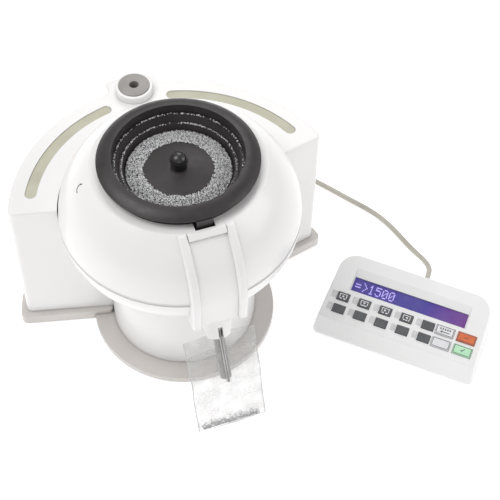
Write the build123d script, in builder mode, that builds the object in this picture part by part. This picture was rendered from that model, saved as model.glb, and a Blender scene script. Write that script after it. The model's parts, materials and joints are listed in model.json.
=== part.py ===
from build123d import *
import os
from math import asin, cos, degrees, radians, sin, sqrt

# Tabletop vibratory tablet and pellet counter: a drum-shaped drive unit with a vibrating feeder bowl
# on top, a sector-shaped electronics housing behind it, a clipped-on bag under the outlet tube and a
# separate wired keypad. Millimetres. The origin is on the bench under the bowl's axis, +Z up, and the
# outlet faces -Y.

# ---------------------------------------------------------------- driving dimensions
# general
wall = 3.0                  # moulded housing wall
skin = 2.2                  # thin cover wall
seat_gap = 0.2              # gap between two housings that meet
fit = 0.05                  # radial clearance of a pin, stud or tube in its hole

# base
foot_gap = 1.0              # bench to underside of the plate
plate_radius = 76.2
plate_height = 5.9          # top of the round plate above the bench
foot_height = 10.6          # top of the thicker slab under the rear housing
foot_lip = 5.0              # how far the slab stands out from the housing wall
foot_edge = 1.2
pad_radius = 9.0
pad_seat_depth = 1.5
inner_pad_circle = 62.0
outer_pad_circle = 116.0

# rear housing
sector_radius = 133.1
sector_half_angle = 76.9    # each side of +Y
ledge_height = 140.4
corner_radius = 4.5
tab_depth = 12.2            # rear pillar beyond the arc
tab_half_width = 21.0
boss_radius = 15.6
boss_height = 6.4
slot_radius = 116.7         # centre line of the two arc slots
slot_width = 9.2
slot_first_angle = 14.0     # from +Y to the nearer slot end
slot_sweep = 53.2
strip_recess = 0.8
strip_flange = 1.4

# accessory post socket on the rear boss
socket_y = 127.1
socket_disc_radius = 13.1
socket_disc_height = 0.9
socket_disc_bevel = 0.5
socket_body_radius = 9.0
socket_depth = 28.0
socket_floor = 4.0           # metal under the blind bore
socket_bore_radius = 4.0

# pedestal and dome
pedestal_radius = 60.0
pedestal_top = 115.0
wire_window = (26.0, 20.0)  # opening at the back for the drive's wires
wire_window_height = 45.0
dome_radius = 94.5          # at the widest
dome_middle = 134.4         # height of the widest circle
dome_rise = 73.4            # upper half: ellipse height
dome_drop = 59.6            # lower half: ellipse height
dome_bottom = 107.5
dome_top = 186.0
dome_mouth_radius = 58.0
dome_wall = 2.5
joint_ring_height = 3.6
joint_ring_inset = 0.7
band_groove_height = 112.6  # thin groove round the dome's lower edge
band_groove_radius = 0.4
slit_turn = 175.7           # small curved vent slit: where its centre is, from +X
slit_height = 178.9
slit_width = 1.2
slit_radius = 3.8
slit_middle = 208.0         # where on its circle the slit lies
slit_sweep = 140.0

# feeder bowl
rim_radius = 61.5
rim_height = 192.7          # of the widest circle of the rim
rim_inner_radius = 50.0
rim_inner_height = 197.2
rim_drop = 0.8              # edge below the widest circle
rim_crown_inset = 4.0       # the rim's curve passes this far inside its widest circle
rim_crown_drop = 1.8        # and this far below its inner edge
upper_track_radius = 49.4
upper_track_height = 189.4
lower_track_radius = 44.6
lower_track_height = 183.8
track_width = 2.3
floor_radius = 40.6
floor_height = 177.5
floor_cone_height = 184.0
floor_flat_radius = 8.0
bowl_body_radius = 55.5
bowl_body_bevel = 6.0
bowl_under = 172.0
bowl_spigot_radius = 22.0
bowl_spigot_bottom = 166.0
hole_radius = 4.6
hole_x = 1.2
hole_y = -42.4
small_hole_radius = 2.9
small_hole_x = 0.2
small_hole_y = -38.5
spout_half_width = 6.0
spout_reach = 63.0
spout_gap = 1.6             # spout to the cover and dome around it
spout_bottom = 173.0
spout_bore_radius = 3.2
spout_bore_height = 178.7
hole_bottom = 175.0         # floor of the holes, just under the bore

# bowl clamping knob
ball_radius = 6.7
ball_height = 190.1
collar_radius = 6.3
stud_radius = 3.0
stud_length = 34.0
knob_gap = 0.15

# vibratory drive
mount_radius = 7.0
mount_height = 8.0
mount_circle = 38.0
casting_radius = 50.0
casting_height = 46.0
core_width = 26.0
core_height = 28.0
coil_radius = 21.0
coil_height = 18.0
air_gap = 1.2
armature_radius = 19.0
armature_height = 6.0
head_radius = 44.0
head_plate_height = 9.0
head_column_radius = 14.0
head_flange_radius = 21.0
head_flange_height = 6.0
head_bore_depth = 19.0
spring_circle = 37.0
spring_width = 16.0
spring_leaf = 1.4
spring_gap = 0.8
spring_leaves = 3
spring_clamp = 6.0          # clamped height at each end

# outlet and chute
outlet_lean = 30.0          # outlet axis from the vertical
outlet_y = -92.1            # where the outlet axis leaves the nozzle
outlet_z = 89.5
tube_radius = 4.5
tube_bore_radius = 3.7
tube_reach = 38.0           # below the nozzle
tube_tail = 24.0            # inside the nozzle
cover_half_width = 14.5
cover_bulge = 1.8           # panel proud of the dome at its widest
cover_rise = 67.5           # ellipse height of the panel
cover_panel_top = 181.5     # of the sunk panel
cover_top = 186.0           # of the lip over it, flush with the dome
cover_lip_front = 183.0     # the lip leaves the dome's surface at this height
cover_cut = 4.0             # the dome is cut away this far in front of the panel
cover_bottom = 104.0
cover_lip_rise = 8.0        # the panel ends upright over this height
cover_lip_slope = 5.0       # then runs in by this much
cover_back = 60.5
cover_hollow_depth = 30.0   # how far its hollow runs back into the dome
flange_width = 7.0
flange_proud = 3.0
flange_tip = 107.0
flange_tip_height = 5.0     # the ridge runs in over this height to its tip
flange_tip_slope = 4.0
flange_depth = 13.0         # front to back
flange_root_rise = 25.0     # above the dome's middle, where it runs back under the dome
flange_round = 2.4
nozzle_end_radius = 9.6
nozzle_top_radius = 14.3
nozzle_length = 22.0
funnel_top_height = 170.0
funnel_top_y = -67.5
funnel_top_radius = 10.4
funnel_wall = 1.5
sensor_height = 132.0
sensor_length = 20.0
sensor_half_width = 11.6
sensor_thickness = 22.0
eye_radius = 2.5
eye_depth = 3.0

# bag clip
rod_radius = 1.5
rod_gap = 0.6               # between rod and tube, for the film
rod_offset = tube_radius + rod_radius + rod_gap
rod_overhang = 1.5
clip_pin_lift = 8.0         # pin above the nozzle's end
clip_pin_radius = 1.0
clip_pin_length = 15.0
clip_eye_radius = 2.0
clip_eye_width = 3.2
clip_side_gap = 0.2
clip_spring_radius = 2.5
clip_spring_length = 2.4

# zip bag
bag_width = 57.0
bag_film = 0.3
bag_tube_gap = 0.2
bag_middle = (0.0, -118.6, 31.6)
bag_foot = (0.8, -125.3, 8.6)
bag_lean = 16.0
bag_middle_thickness = 5.6
bag_foot_thickness = 3.0

# electronics
board_length = 90.0
board_width = 42.0
board_thickness = 1.6
board_y = 98.0
board_margin = 5.0
board_components = (        # place from the middle, length, width and height
    (-28.0, 6.0, 22.0, 12.0, 14.0), (4.0, -6.0, 18.0, 18.0, 3.0), (28.0, 8.0, 10.0, 10.0, 16.0),
    (30.0, -10.0, 16.0, 8.0, 6.0), (-26.0, -12.0, 24.0, 6.0, 9.0),
)
standoff_radius = 3.0
standoff_height = 9.4
supply_size = (40.0, 30.0, 34.0)
supply_place = (72.0, 66.0)
inlet_width = 27.0
inlet_height = 19.0
inlet_depth = 22.0
inlet_flange = 2.0
inlet_rim = 5.0             # how much larger the flange is
inlet_wall = 1.5
inlet_cavity = 16.0
inlet_pin_length = 11.0
inlet_z = 42.0
switch_width = 13.0
switch_height = 19.0
switch_depth = 15.0
switch_z = 78.0
switch_flange = 1.6
switch_rim = 4.0
switch_wall = 1.5
rocker_gap = 0.4            # each side, to the switch's walls
rocker_axis_depth = 4.0
rocker_face = 4.2           # pivot to the middle of the rocker's face
rocker_crest = 6.4          # pivot to its raised ends
rocker_end = 6.6            # half its height
rocker_shoulder = 1.5
rocker_toe = 5.5
rocker_tip = 8.0            # how far it is tipped either way
gland_angle = 36.0
gland_height = 18.0
gland_reach = 16.0
gland_root_radius = 5.0
gland_tip_radius = 3.2

# keypad
keypad_corner = (94.45, -59.4)   # front left corner on the bench
keypad_turn = -41.76             # its front edge, from +X
keypad_length = 140.4
keypad_depth = 71.0
keypad_front_height = 20.0
keypad_front_lean = 6.0
keypad_slope = 15.2
keypad_draft = 8.0
keypad_front_corner = 4.0
keypad_back_corner = 19.0
keypad_shell = 2.2
keypad_foot_height = 1.0
keypad_foot_radius = 5.0
keypad_foot_seat = 0.6
keypad_foot_places = ((18.0, 12.0), (122.4, 12.0), (24.0, 48.0), (116.4, 48.0))
keypad_floor = 1.9               # thickness of the lower shell's floor
keypad_seam = 4.2
display_left = 20.4
display_length = 100.0
display_low = 30.6               # up the slope from the front top edge
display_height = 12.8
display_recess = 2.6
display_bezel = 7.0              # sloping strip above the display
display_bevel = 1.2              # sloping edge on its other sides
display_frame = 3.0              # moulded seat round the pane
display_frame_top = 5.0
pane_gap = 0.4                   # pane to the module behind it
glass_thickness = 1.2
module_thickness = 6.0
module_margin = 4.0
key_rows = (21.6, 10.2)          # centres up the slope, back row first
key_columns = 5
key_first = 17.0
key_pitch = 18.7
key_size = (10.2, 7.2)
wide_key_first = 106.6
wide_key_pitch = 18.5
wide_key_size = (15.4, 8.4)
key_gap = 0.3
key_corner = 0.9
key_edge = 0.45
key_proud = 1.1
key_travel = 0.8
key_flange = 0.9
key_flange_margin = 0.7
key_stem_radius = 1.5
key_stem_length = 2.0
keypad_board_drop = 6.2          # face of the shell to the board
keypad_board_left = 10.0
keypad_board_low = 2.6
keypad_relief_length = 10.0
keypad_relief_radius = 3.4
keypad_relief_tip_radius = 2.8
keypad_relief_tail = 5.0         # inside the shell
keypad_relief_reach = 8.0        # the opening is cut this far either side of the back edge
keypad_relief_across = 75.0
keypad_relief_height = 12.0
keypad_post_radius = 3.0
keypad_posts = ((7.0, 7.0), (133.4, 7.0), (16.0, 58.0), (124.4, 58.0))
keypad_screw_radius = 1.4
keypad_screw_head = 2.4
keypad_head_height = 1.3
keypad_screw_sink = 1.6
keypad_screw_length = 6.0

# keypad cable
cable_radius = 2.3
cable_leads = (16.05, 26.0)         # its first two points, straight out from the housing wall
cable_route = [
    (136.8, 96.2, 15.7), (145.3, 96.2, 11.7),
    (153.3, 93.4, 7.4), (160.5, 88.0, 4.0), (168.0, 79.8, 2.5), (176.8, 66.9, 2.4),
    (186.3, 54.2, 2.4), (193.4, 43.6, 2.4), (199.0, 32.4, 2.4), (203.3, 20.2, 2.4),
    (206.6, 7.4, 2.4), (209.6, -4.6, 2.4), (212.4, -14.8, 3.4), (213.8, -24.0, 6.2),
    (213.5, -33.2, 9.8), (211.0, -41.47, 12.0), (204.34, -48.93, 12.0),
]

os.makedirs("parts", exist_ok=True)


# ---------------------------------------------------------------- shared shapes and helpers
def finish(builder, label):
    """Label a finished piece and write it."""
    builder.part.label = label
    export_step(builder.part, f"parts/{label}.step")


def polar(radius, angle):
    """Point on the plan at an angle from +X."""
    return radius * cos(radians(angle)), radius * sin(radians(angle))


def ellipse_reach(length, rise, height):
    """Half width of an ellipse at a height above its middle."""
    return length * sqrt(1 - (height / rise) ** 2)


def ellipse_angle(rise, height):
    return degrees(asin(height / rise))


def dome_arc(x_radius, y_radius, start, end):
    """Arc of an ellipse centred on the dome's middle."""
    return EllipticalCenterArc((0, dome_middle), x_radius, y_radius, start, arc_size=end - start)


def sector_sketch(inner, outer, half_angle):
    """Flat sector about +Y, as wide as half_angle to each side."""
    start = 90 - half_angle
    with BuildSketch() as sketch:
        with BuildLine():
            outside = CenterArc((0, 0), outer, start, 2 * half_angle)
            inside = CenterArc((0, 0), inner, start, 2 * half_angle)
            Line(inside @ 0, outside @ 0)
            Line(inside @ 1, outside @ 1)
        make_face()
    return sketch.sketch


def dome_zone(low, high, rise, inset, thickness):
    """Ring of the dome's shell between two heights, both on the same half of the dome."""
    with BuildPart() as zone:
        with BuildSketch(Plane.XZ):
            with BuildLine():
                ends = []
                for depth in (inset, inset + thickness):
                    height = rise - depth
                    arc = dome_arc(
                        dome_radius - depth, height,
                        ellipse_angle(height, low - dome_middle), ellipse_angle(height, high - dome_middle),
                    )
                    ends.append((arc @ 0, arc @ 1))
                Line(ends[0][0], ends[1][0])
                Line(ends[0][1], ends[1][1])
            make_face()
        revolve(axis=Axis.Z)
    return zone.part


def cover_solid(half_width, inset, back, bottom, top):
    """Body of the chute cover: its side profile extruded both ways across."""
    length = dome_radius + cover_bulge - inset
    rise = cover_rise - inset
    with BuildPart() as body:
        with BuildSketch(Plane.YZ):
            with BuildLine():
                top_angle = ellipse_angle(rise, top - dome_middle)
                front = dome_arc(length, rise, 180 - top_angle, 180)
                Polyline(
                    front @ 1, (-length, bottom + cover_lip_rise), (-length + cover_lip_slope, bottom),
                    (-back, bottom), (-back, top), front @ 0,
                )
            make_face()
        extrude(amount=half_width, both=True)
    return body.part


# planes of the outlet and of the keypad
lean = radians(outlet_lean)
outlet_plane = Plane(origin=(0, outlet_y, outlet_z), x_dir=(1, 0, 0), z_dir=(0, sin(lean), cos(lean)))
keypad_plane = Plane(origin=(*keypad_corner, 0), x_dir=(*polar(1, keypad_turn), 0), z_dir=(0, 0, 1))
slope = radians(keypad_slope)
face_plane = Plane(
    origin=keypad_plane.from_local_coords((0, keypad_front_lean, keypad_front_height)),
    x_dir=keypad_plane.x_dir,
    z_dir=keypad_plane.y_dir * -sin(slope) + Vector(0, 0, cos(slope)),
)
gland_x, gland_y = polar(sector_radius, gland_angle)
gland_plane = Plane(
    origin=(gland_x, gland_y, gland_height), x_dir=(0, 0, 1), z_dir=(*polar(1, gland_angle), 0)
)
relief_plane = Plane(
    origin=keypad_plane.from_local_coords((keypad_relief_across, keypad_depth, keypad_relief_height)),
    x_dir=(0, 0, 1),
    z_dir=keypad_plane.y_dir,
)

# ---------------------------------------------------------------- base
pad_places = [(0, 0), *(polar(inner_pad_circle, angle) for angle in (205, 270, 335)),
              *(polar(outer_pad_circle, angle) for angle in (30, 90, 150))]
slab_inner = pedestal_radius + seat_gap + foot_lip

with BuildPart() as base_plate:
    with BuildSketch(Plane.XY.offset(foot_gap)):
        Circle(plate_radius)
    extrude(amount=plate_height - foot_gap)
    with BuildSketch(Plane.XY.offset(foot_gap)):
        add(sector_sketch(slab_inner, sector_radius, sector_half_angle))
        with Locations((0, sector_radius)):
            Rectangle(2 * tab_half_width, 2 * tab_depth)
        offset(amount=foot_lip, kind=Kind.ARC)
    extrude(amount=foot_height - foot_gap)
    fillet(base_plate.edges().group_by(Axis.Z)[-1], foot_edge)
    with BuildSketch(Plane.XY.offset(foot_gap)):
        with Locations(*pad_places):
            Circle(pad_radius)
    extrude(amount=pad_seat_depth, mode=Mode.SUBTRACT)
finish(base_plate, "base_plate")

with BuildPart() as rubber_feet:
    with BuildSketch(Plane.XY):
        with Locations(*pad_places):
            Circle(pad_radius - fit)
    extrude(amount=foot_gap + pad_seat_depth)
    chamfer(rubber_feet.edges().group_by(Axis.Z)[0], 0.6)
finish(rubber_feet, "rubber_feet")

# ---------------------------------------------------------------- rear housing
dome_clear = dome_radius + seat_gap + 0.3

with BuildPart() as dome_room:
    with BuildSketch(Plane.XZ):
        with BuildLine():
            low_angle = ellipse_angle(dome_drop, dome_bottom - dome_middle)
            rim = dome_arc(dome_clear, dome_drop + 0.5, low_angle, 0)
            Polyline(rim @ 1, (dome_clear, ledge_height + 10), (0, ledge_height + 10),
                     (0, (rim @ 0).Y), rim @ 0)
        make_face()
    revolve(axis=Axis.Z)

with BuildPart() as rear_housing:
    with BuildSketch(Plane.XY.offset(foot_height)):
        add(sector_sketch(pedestal_radius + seat_gap, sector_radius, sector_half_angle))
        with Locations((0, sector_radius)):
            Rectangle(2 * tab_half_width, 2 * tab_depth)
    extrude(amount=ledge_height - foot_height)
    outer_edges = rear_housing.edges().filter_by(Axis.Z).filter_by(
        lambda edge: Vector(edge.center().X, edge.center().Y).length > sector_radius - 1
    )
    fillet(outer_edges, corner_radius)
    fillet(rear_housing.edges().group_by(Axis.Z)[-1].filter_by(
        lambda edge: Vector(edge.center().X, edge.center().Y).length > pedestal_radius + 5), 1.6)
    with BuildSketch(Plane.XY.offset(foot_height)):
        add(sector_sketch(pedestal_radius - 2 * wall, sector_radius, sector_half_angle))
        with Locations((0, sector_radius)):
            Rectangle(2 * tab_half_width, 2 * tab_depth)
        offset(amount=-wall, kind=Kind.INTERSECTION)
    extrude(amount=ledge_height - foot_height - wall, mode=Mode.SUBTRACT)
    add(dome_room.part, mode=Mode.SUBTRACT)
    with BuildSketch(Plane.XY.offset(ledge_height)):
        with Locations((0, socket_y)):
            Circle(boss_radius)
    extrude(amount=boss_height)
    fillet(rear_housing.edges().group_by(Axis.Z)[-1], 1.0)
    with Locations((0, socket_y, ledge_height - wall)):
        Cylinder(socket_body_radius + fit, wall + boss_height, mode=Mode.SUBTRACT,
                 align=(Align.CENTER, Align.CENTER, Align.MIN))
    for first in (90 + slot_first_angle, 90 - slot_first_angle - slot_sweep):
        with BuildSketch(Plane.XY.offset(ledge_height - wall)):
            SlotArc(CenterArc((0, 0), slot_radius, first, slot_sweep), slot_width)
        extrude(amount=wall, mode=Mode.SUBTRACT)
    with BuildSketch(Plane.XZ.offset(-sector_radius - tab_depth)):
        with Locations((0, inlet_z)):
            Rectangle(inlet_width + 2 * fit, inlet_height + 2 * fit)
        with Locations((0, switch_z)):
            Rectangle(switch_width + 2 * fit, switch_height + 2 * fit)
    extrude(amount=wall, mode=Mode.SUBTRACT)
    with BuildSketch(gland_plane.offset(-2 * wall)):
        Circle(gland_root_radius + fit)
    extrude(amount=3 * wall, mode=Mode.SUBTRACT)
finish(rear_housing, "rear_housing")

for side, first in (("left", 90 + slot_first_angle), ("right", 90 - slot_first_angle - slot_sweep)):
    with BuildPart() as strip:
        with BuildSketch(Plane.XY.offset(ledge_height - wall)):
            SlotArc(CenterArc((0, 0), slot_radius, first, slot_sweep), slot_width - 2 * fit)
        extrude(amount=wall - strip_recess)
        with BuildSketch(Plane.XY.offset(ledge_height - wall)):
            SlotArc(CenterArc((0, 0), slot_radius, first, slot_sweep), slot_width + 2 * strip_flange)
        extrude(amount=-strip_flange)
    finish(strip, f"slot_strip_{side}")

with BuildPart() as post_socket:
    top = ledge_height + boss_height
    with Locations((0, socket_y, top)):
        Cylinder(socket_disc_radius, socket_disc_height, align=(Align.CENTER, Align.CENTER, Align.MIN))
        Cylinder(socket_body_radius, socket_depth, align=(Align.CENTER, Align.CENTER, Align.MAX))
    chamfer(post_socket.edges().group_by(Axis.Z)[-1], socket_disc_bevel)
    with Locations((0, socket_y, top - socket_depth + socket_floor)):
        Cylinder(socket_bore_radius, socket_depth + socket_disc_height, mode=Mode.SUBTRACT,
                 align=(Align.CENTER, Align.CENTER, Align.MIN))
finish(post_socket, "post_socket")

# ---------------------------------------------------------------- pedestal and dome
with BuildPart() as pedestal_shell:
    with BuildSketch(Plane.XY.offset(plate_height)):
        Circle(pedestal_radius)
        Circle(pedestal_radius - wall, mode=Mode.SUBTRACT)
    extrude(amount=pedestal_top - plate_height)
    with BuildSketch(Plane.XZ):
        with Locations((0, wire_window_height)):
            Rectangle(*wire_window)
    extrude(amount=-pedestal_radius - wall, mode=Mode.SUBTRACT)
finish(pedestal_shell, "pedestal_shell")

cover_body = cover_solid(cover_half_width, 0, cover_back, cover_bottom, cover_panel_top)
cover_opening = cover_solid(cover_half_width + flange_round, -cover_cut, cover_back, cover_bottom, cover_top)
cover_ridge_y = dome_radius + cover_bulge + flange_proud - flange_depth

with BuildPart() as nozzle_body:
    with BuildSketch(outlet_plane):
        Circle(nozzle_end_radius)
    with BuildSketch(outlet_plane.offset(nozzle_length)):
        Circle(nozzle_top_radius)
    loft()

with BuildPart() as flange_bodies:
    for side in (-1, 1):
        with BuildSketch(Plane.YZ.offset(side * cover_half_width)):
            with BuildLine():
                outer_rise = cover_rise + flange_proud
                length = dome_radius + cover_bulge + flange_proud
                top_angle = ellipse_angle(outer_rise, cover_top - dome_middle)
                front = dome_arc(length, outer_rise, 180 - top_angle, 180)
                Polyline(
                    front @ 1, (-length, flange_tip + flange_tip_height),
                    (-length + flange_tip_slope, flange_tip), (-length + flange_depth, flange_tip),
                    (-length + flange_depth, dome_middle + flange_root_rise),
                    (-cover_back, (front @ 0).Y), front @ 0,
                )
            make_face()
        extrude(amount=side * flange_width)
    ridge_faces = flange_bodies.faces().filter_by(Axis.X)
    ridge_edges = ridge_faces.edges().filter_by(lambda edge: edge.center().Y < -cover_ridge_y)
    fillet(ridge_edges, flange_round)

with BuildPart() as cover_lip:
    with BuildSketch(Plane.YZ):
        with BuildLine():
            lip_root = -ellipse_reach(dome_radius + cover_bulge, cover_rise, cover_panel_top - dome_middle)
            Polyline(
                (lip_root, cover_panel_top),
                (-ellipse_reach(dome_radius, dome_rise, cover_lip_front - dome_middle), cover_lip_front),
                (-ellipse_reach(dome_radius, dome_rise, cover_top - dome_middle), cover_top),
                (-cover_back, cover_top), (-cover_back, cover_panel_top - skin),
                (lip_root, cover_panel_top - skin), close=True,
            )
        make_face()
    extrude(amount=cover_half_width, both=True)

with BuildPart() as cover_outline:
    add(cover_opening)
    add(nozzle_body.part)
    add(flange_bodies.part)

with BuildPart() as spout_room:
    with Locations((0, -spout_reach - spout_gap, spout_bottom - spout_gap)):
        Box(2 * (spout_half_width + spout_gap), spout_reach - dome_mouth_radius + wall,
            dome_top - spout_bottom + 2 * spout_gap, align=(Align.CENTER, Align.MIN, Align.MIN))

with BuildPart() as dome_lower_band:
    add(dome_zone(dome_bottom, dome_middle, dome_drop, 0, dome_wall))
    with BuildSketch(Plane.XY.offset(dome_bottom)):
        Circle(dome_radius * cos(radians(low_angle)) - dome_wall)
        Circle(pedestal_radius + seat_gap, mode=Mode.SUBTRACT)
    extrude(amount=dome_wall)
    with BuildSketch(Plane.XZ):
        with Locations((ellipse_reach(dome_radius, dome_drop, band_groove_height - dome_middle),
                        band_groove_height)):
            Circle(band_groove_radius)
    revolve(axis=Axis.Z, mode=Mode.SUBTRACT)
    add(cover_outline.part, mode=Mode.SUBTRACT)
finish(dome_lower_band, "dome_lower_band")

seam_height = dome_middle + joint_ring_height
slit_reach = ellipse_reach(dome_radius, dome_rise, slit_height - dome_middle)
slit_out = Vector(
    *polar(slit_reach / dome_radius ** 2, slit_turn), (slit_height - dome_middle) / dome_rise ** 2
)
slit_plane = Plane(origin=(*polar(slit_reach, slit_turn), slit_height),
                   x_dir=(*polar(1, slit_turn + 90), 0), z_dir=slit_out)

with BuildPart() as dome_joint_ring:
    add(dome_zone(dome_middle, seam_height, dome_rise, joint_ring_inset, dome_wall - joint_ring_inset))
    add(cover_outline.part, mode=Mode.SUBTRACT)
finish(dome_joint_ring, "dome_joint_ring")

with BuildPart() as dome_upper_shell:
    add(dome_zone(seam_height, dome_top, dome_rise, 0, dome_wall))
    with BuildSketch(Plane.XY.offset(dome_top - skin)):
        Circle(ellipse_reach(dome_radius, dome_rise, dome_top - dome_middle) - dome_wall / 2)
        Circle(dome_mouth_radius, mode=Mode.SUBTRACT)
    extrude(amount=skin)
    add(cover_outline.part, mode=Mode.SUBTRACT)
    add(spout_room.part, mode=Mode.SUBTRACT)
    with BuildSketch(slit_plane.offset(-wall)):
        with BuildLine() as slit_line:
            CenterArc((0, 0), slit_radius, slit_middle - slit_sweep / 2, slit_sweep)
        SlotArc(slit_line.edges()[0], slit_width)
    extrude(amount=2 * wall, mode=Mode.SUBTRACT)
finish(dome_upper_shell, "dome_upper_shell")

with BuildPart() as chute_cover:
    add(cover_body)
    add(nozzle_body.part)
    add(cover_solid(cover_half_width - skin, skin, cover_back - cover_hollow_depth,
                    cover_bottom + skin, cover_panel_top - skin),
        mode=Mode.SUBTRACT)
    add(cover_lip.part)
    add(flange_bodies.part)
    add(spout_room.part, mode=Mode.SUBTRACT)
    with BuildSketch(outlet_plane.offset(-1)):
        Circle(tube_radius + fit)
    extrude(amount=tube_tail + 1, mode=Mode.SUBTRACT)
    with BuildSketch(outlet_plane.offset(-1)):
        with Locations((0, -rod_offset - 4)):
            Rectangle(clip_eye_width + 2 * clip_side_gap, 14)
    extrude(amount=clip_pin_lift + 1 + clip_eye_radius + clip_side_gap, mode=Mode.SUBTRACT)
    with BuildSketch(Plane(outlet_plane.from_local_coords((0, -rod_offset, clip_pin_lift)),
                           x_dir=(0, 0, 1), z_dir=(1, 0, 0))):
        Circle(clip_pin_radius)
    extrude(amount=clip_pin_length / 2, both=True, mode=Mode.SUBTRACT)
    with BuildSketch(Plane(outlet_plane.from_local_coords(
            (clip_eye_width / 2 + clip_side_gap, -rod_offset, clip_pin_lift)),
            x_dir=(0, 0, 1), z_dir=(1, 0, 0))):
        Circle(clip_spring_radius + fit)
    extrude(amount=clip_spring_length + fit, mode=Mode.SUBTRACT)
finish(chute_cover, "chute_cover")

# ---------------------------------------------------------------- feeder bowl
with BuildPart() as feeder_bowl:
    with BuildSketch(Plane.XZ):
        with BuildLine():
            rim_top = ThreePointArc(
                (rim_inner_radius, rim_inner_height),
                (rim_radius - rim_crown_inset, rim_inner_height - rim_crown_drop),
                (rim_radius, rim_height),
            )
            Polyline(
                rim_top @ 1, (rim_radius, rim_height - rim_drop), (bowl_body_radius, rim_height - rim_drop),
                (bowl_body_radius, bowl_under + 1), (bowl_body_radius - bowl_body_bevel, bowl_under),
                (bowl_spigot_radius, bowl_under), (bowl_spigot_radius, bowl_spigot_bottom),
                (0, bowl_spigot_bottom), (0, floor_cone_height), (floor_flat_radius, floor_cone_height),
                (floor_radius, floor_height), (lower_track_radius - track_width, lower_track_height),
                (lower_track_radius, lower_track_height),
                (upper_track_radius - track_width, upper_track_height),
                (upper_track_radius, upper_track_height), rim_top @ 0,
            )
        make_face()
    revolve(axis=Axis.Z)
    with Locations((0, -spout_reach, spout_bottom)):
        Box(2 * spout_half_width, spout_reach - bowl_body_radius + wall, rim_height - rim_drop - spout_bottom,
            align=(Align.CENTER, Align.MIN, Align.MIN))
    hole_depth = rim_inner_height - hole_bottom
    with Locations((hole_x, hole_y, hole_bottom)):
        Cylinder(hole_radius, hole_depth, mode=Mode.SUBTRACT, align=(Align.CENTER, Align.CENTER, Align.MIN))
    with Locations((small_hole_x, small_hole_y, hole_bottom)):
        Cylinder(small_hole_radius, hole_depth, mode=Mode.SUBTRACT,
                 align=(Align.CENTER, Align.CENTER, Align.MIN))
    with BuildSketch(Plane.XZ.offset(-hole_y)):
        with Locations((0, spout_bore_height)):
            Circle(spout_bore_radius)
    extrude(amount=spout_reach + hole_y, mode=Mode.SUBTRACT)
    with Locations((0, 0, bowl_spigot_bottom)):
        Cylinder(stud_radius + fit, floor_cone_height - bowl_spigot_bottom, mode=Mode.SUBTRACT,
                 align=(Align.CENTER, Align.CENTER, Align.MIN))
finish(feeder_bowl, "feeder_bowl")

with BuildPart() as bowl_knob:
    knob_foot = floor_cone_height + knob_gap
    with Locations((0, 0, ball_height)):
        Sphere(ball_radius)
    with Locations((0, 0, knob_foot)):
        Cylinder(collar_radius, ball_height - knob_foot, align=(Align.CENTER, Align.CENTER, Align.MIN))
        Cylinder(stud_radius, stud_length, align=(Align.CENTER, Align.CENTER, Align.MAX))
finish(bowl_knob, "bowl_knob")

# ---------------------------------------------------------------- vibratory drive
casting_bottom = plate_height + mount_height
casting_top = casting_bottom + casting_height
core_top = casting_top + core_height
armature_bottom = core_top + air_gap
head_bottom = armature_bottom + armature_height
head_top = head_bottom + head_plate_height

with BuildPart() as isolation_mounts:
    with BuildSketch(Plane.XY.offset(plate_height)):
        with PolarLocations(mount_circle, 4, start_angle=45):
            Circle(mount_radius)
    extrude(amount=mount_height)
finish(isolation_mounts, "isolation_mounts")

with BuildPart() as drive_casting:
    with BuildSketch(Plane.XY.offset(casting_bottom)):
        Circle(casting_radius)
    extrude(amount=casting_height)
    fillet(drive_casting.edges().group_by(Axis.Z)[-1], 4)
    fillet(drive_casting.edges().group_by(Axis.Z)[0], 2)
finish(drive_casting, "drive_casting")

with BuildPart() as magnet_core:
    with Locations((0, 0, casting_top)):
        Box(core_width, core_width, core_height, align=(Align.CENTER, Align.CENTER, Align.MIN))
finish(magnet_core, "magnet_core")

with BuildPart() as magnet_coil:
    with BuildSketch(Plane.XY.offset(casting_top)):
        Circle(coil_radius)
        Rectangle(core_width, core_width, mode=Mode.SUBTRACT)
    extrude(amount=coil_height)
    fillet(magnet_coil.edges().filter_by(GeomType.CIRCLE), 1.5)
finish(magnet_coil, "magnet_coil")

for number in range(3):
    turn = 90 + 120 * number
    leaf_plane = Plane.XY.offset(casting_top).rotated((0, 0, turn - 90))
    pack = spring_leaves * spring_leaf + (spring_leaves - 1) * spring_leaf
    leaf_height = head_bottom - spring_gap - casting_top
    with BuildPart() as leaf_spring:
        with BuildSketch(leaf_plane):
            with Locations((0, spring_circle)):
                Rectangle(spring_width, pack)
        extrude(amount=spring_clamp)
        for leaf in range(spring_leaves):
            with BuildSketch(leaf_plane.offset(spring_clamp)):
                with Locations((0, spring_circle + (leaf - (spring_leaves - 1) / 2) * 2 * spring_leaf)):
                    Rectangle(spring_width, spring_leaf)
            extrude(amount=leaf_height - 2 * spring_clamp)
        with BuildSketch(leaf_plane.offset(leaf_height - spring_clamp)):
            with Locations((0, spring_circle)):
                Rectangle(spring_width, pack)
        extrude(amount=spring_clamp)
    finish(leaf_spring, f"leaf_spring_{number + 1}")

with BuildPart() as armature:
    with BuildSketch(Plane.XY.offset(armature_bottom)):
        Circle(armature_radius)
    extrude(amount=armature_height)
finish(armature, "armature")

with BuildPart() as drive_head:
    with BuildSketch(Plane.XY.offset(head_bottom)):
        Circle(head_radius)
    extrude(amount=head_plate_height)
    with BuildSketch(Plane.XY.offset(head_top)):
        Circle(head_column_radius)
    extrude(amount=bowl_spigot_bottom - head_top)
    with BuildSketch(Plane.XY.offset(bowl_spigot_bottom - head_flange_height)):
        Circle(head_flange_radius)
    extrude(amount=head_flange_height)
    with Locations((0, 0, bowl_spigot_bottom)):
        Cylinder(stud_radius + fit, 2 * head_bore_depth, mode=Mode.SUBTRACT)
finish(drive_head, "drive_head")

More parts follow.
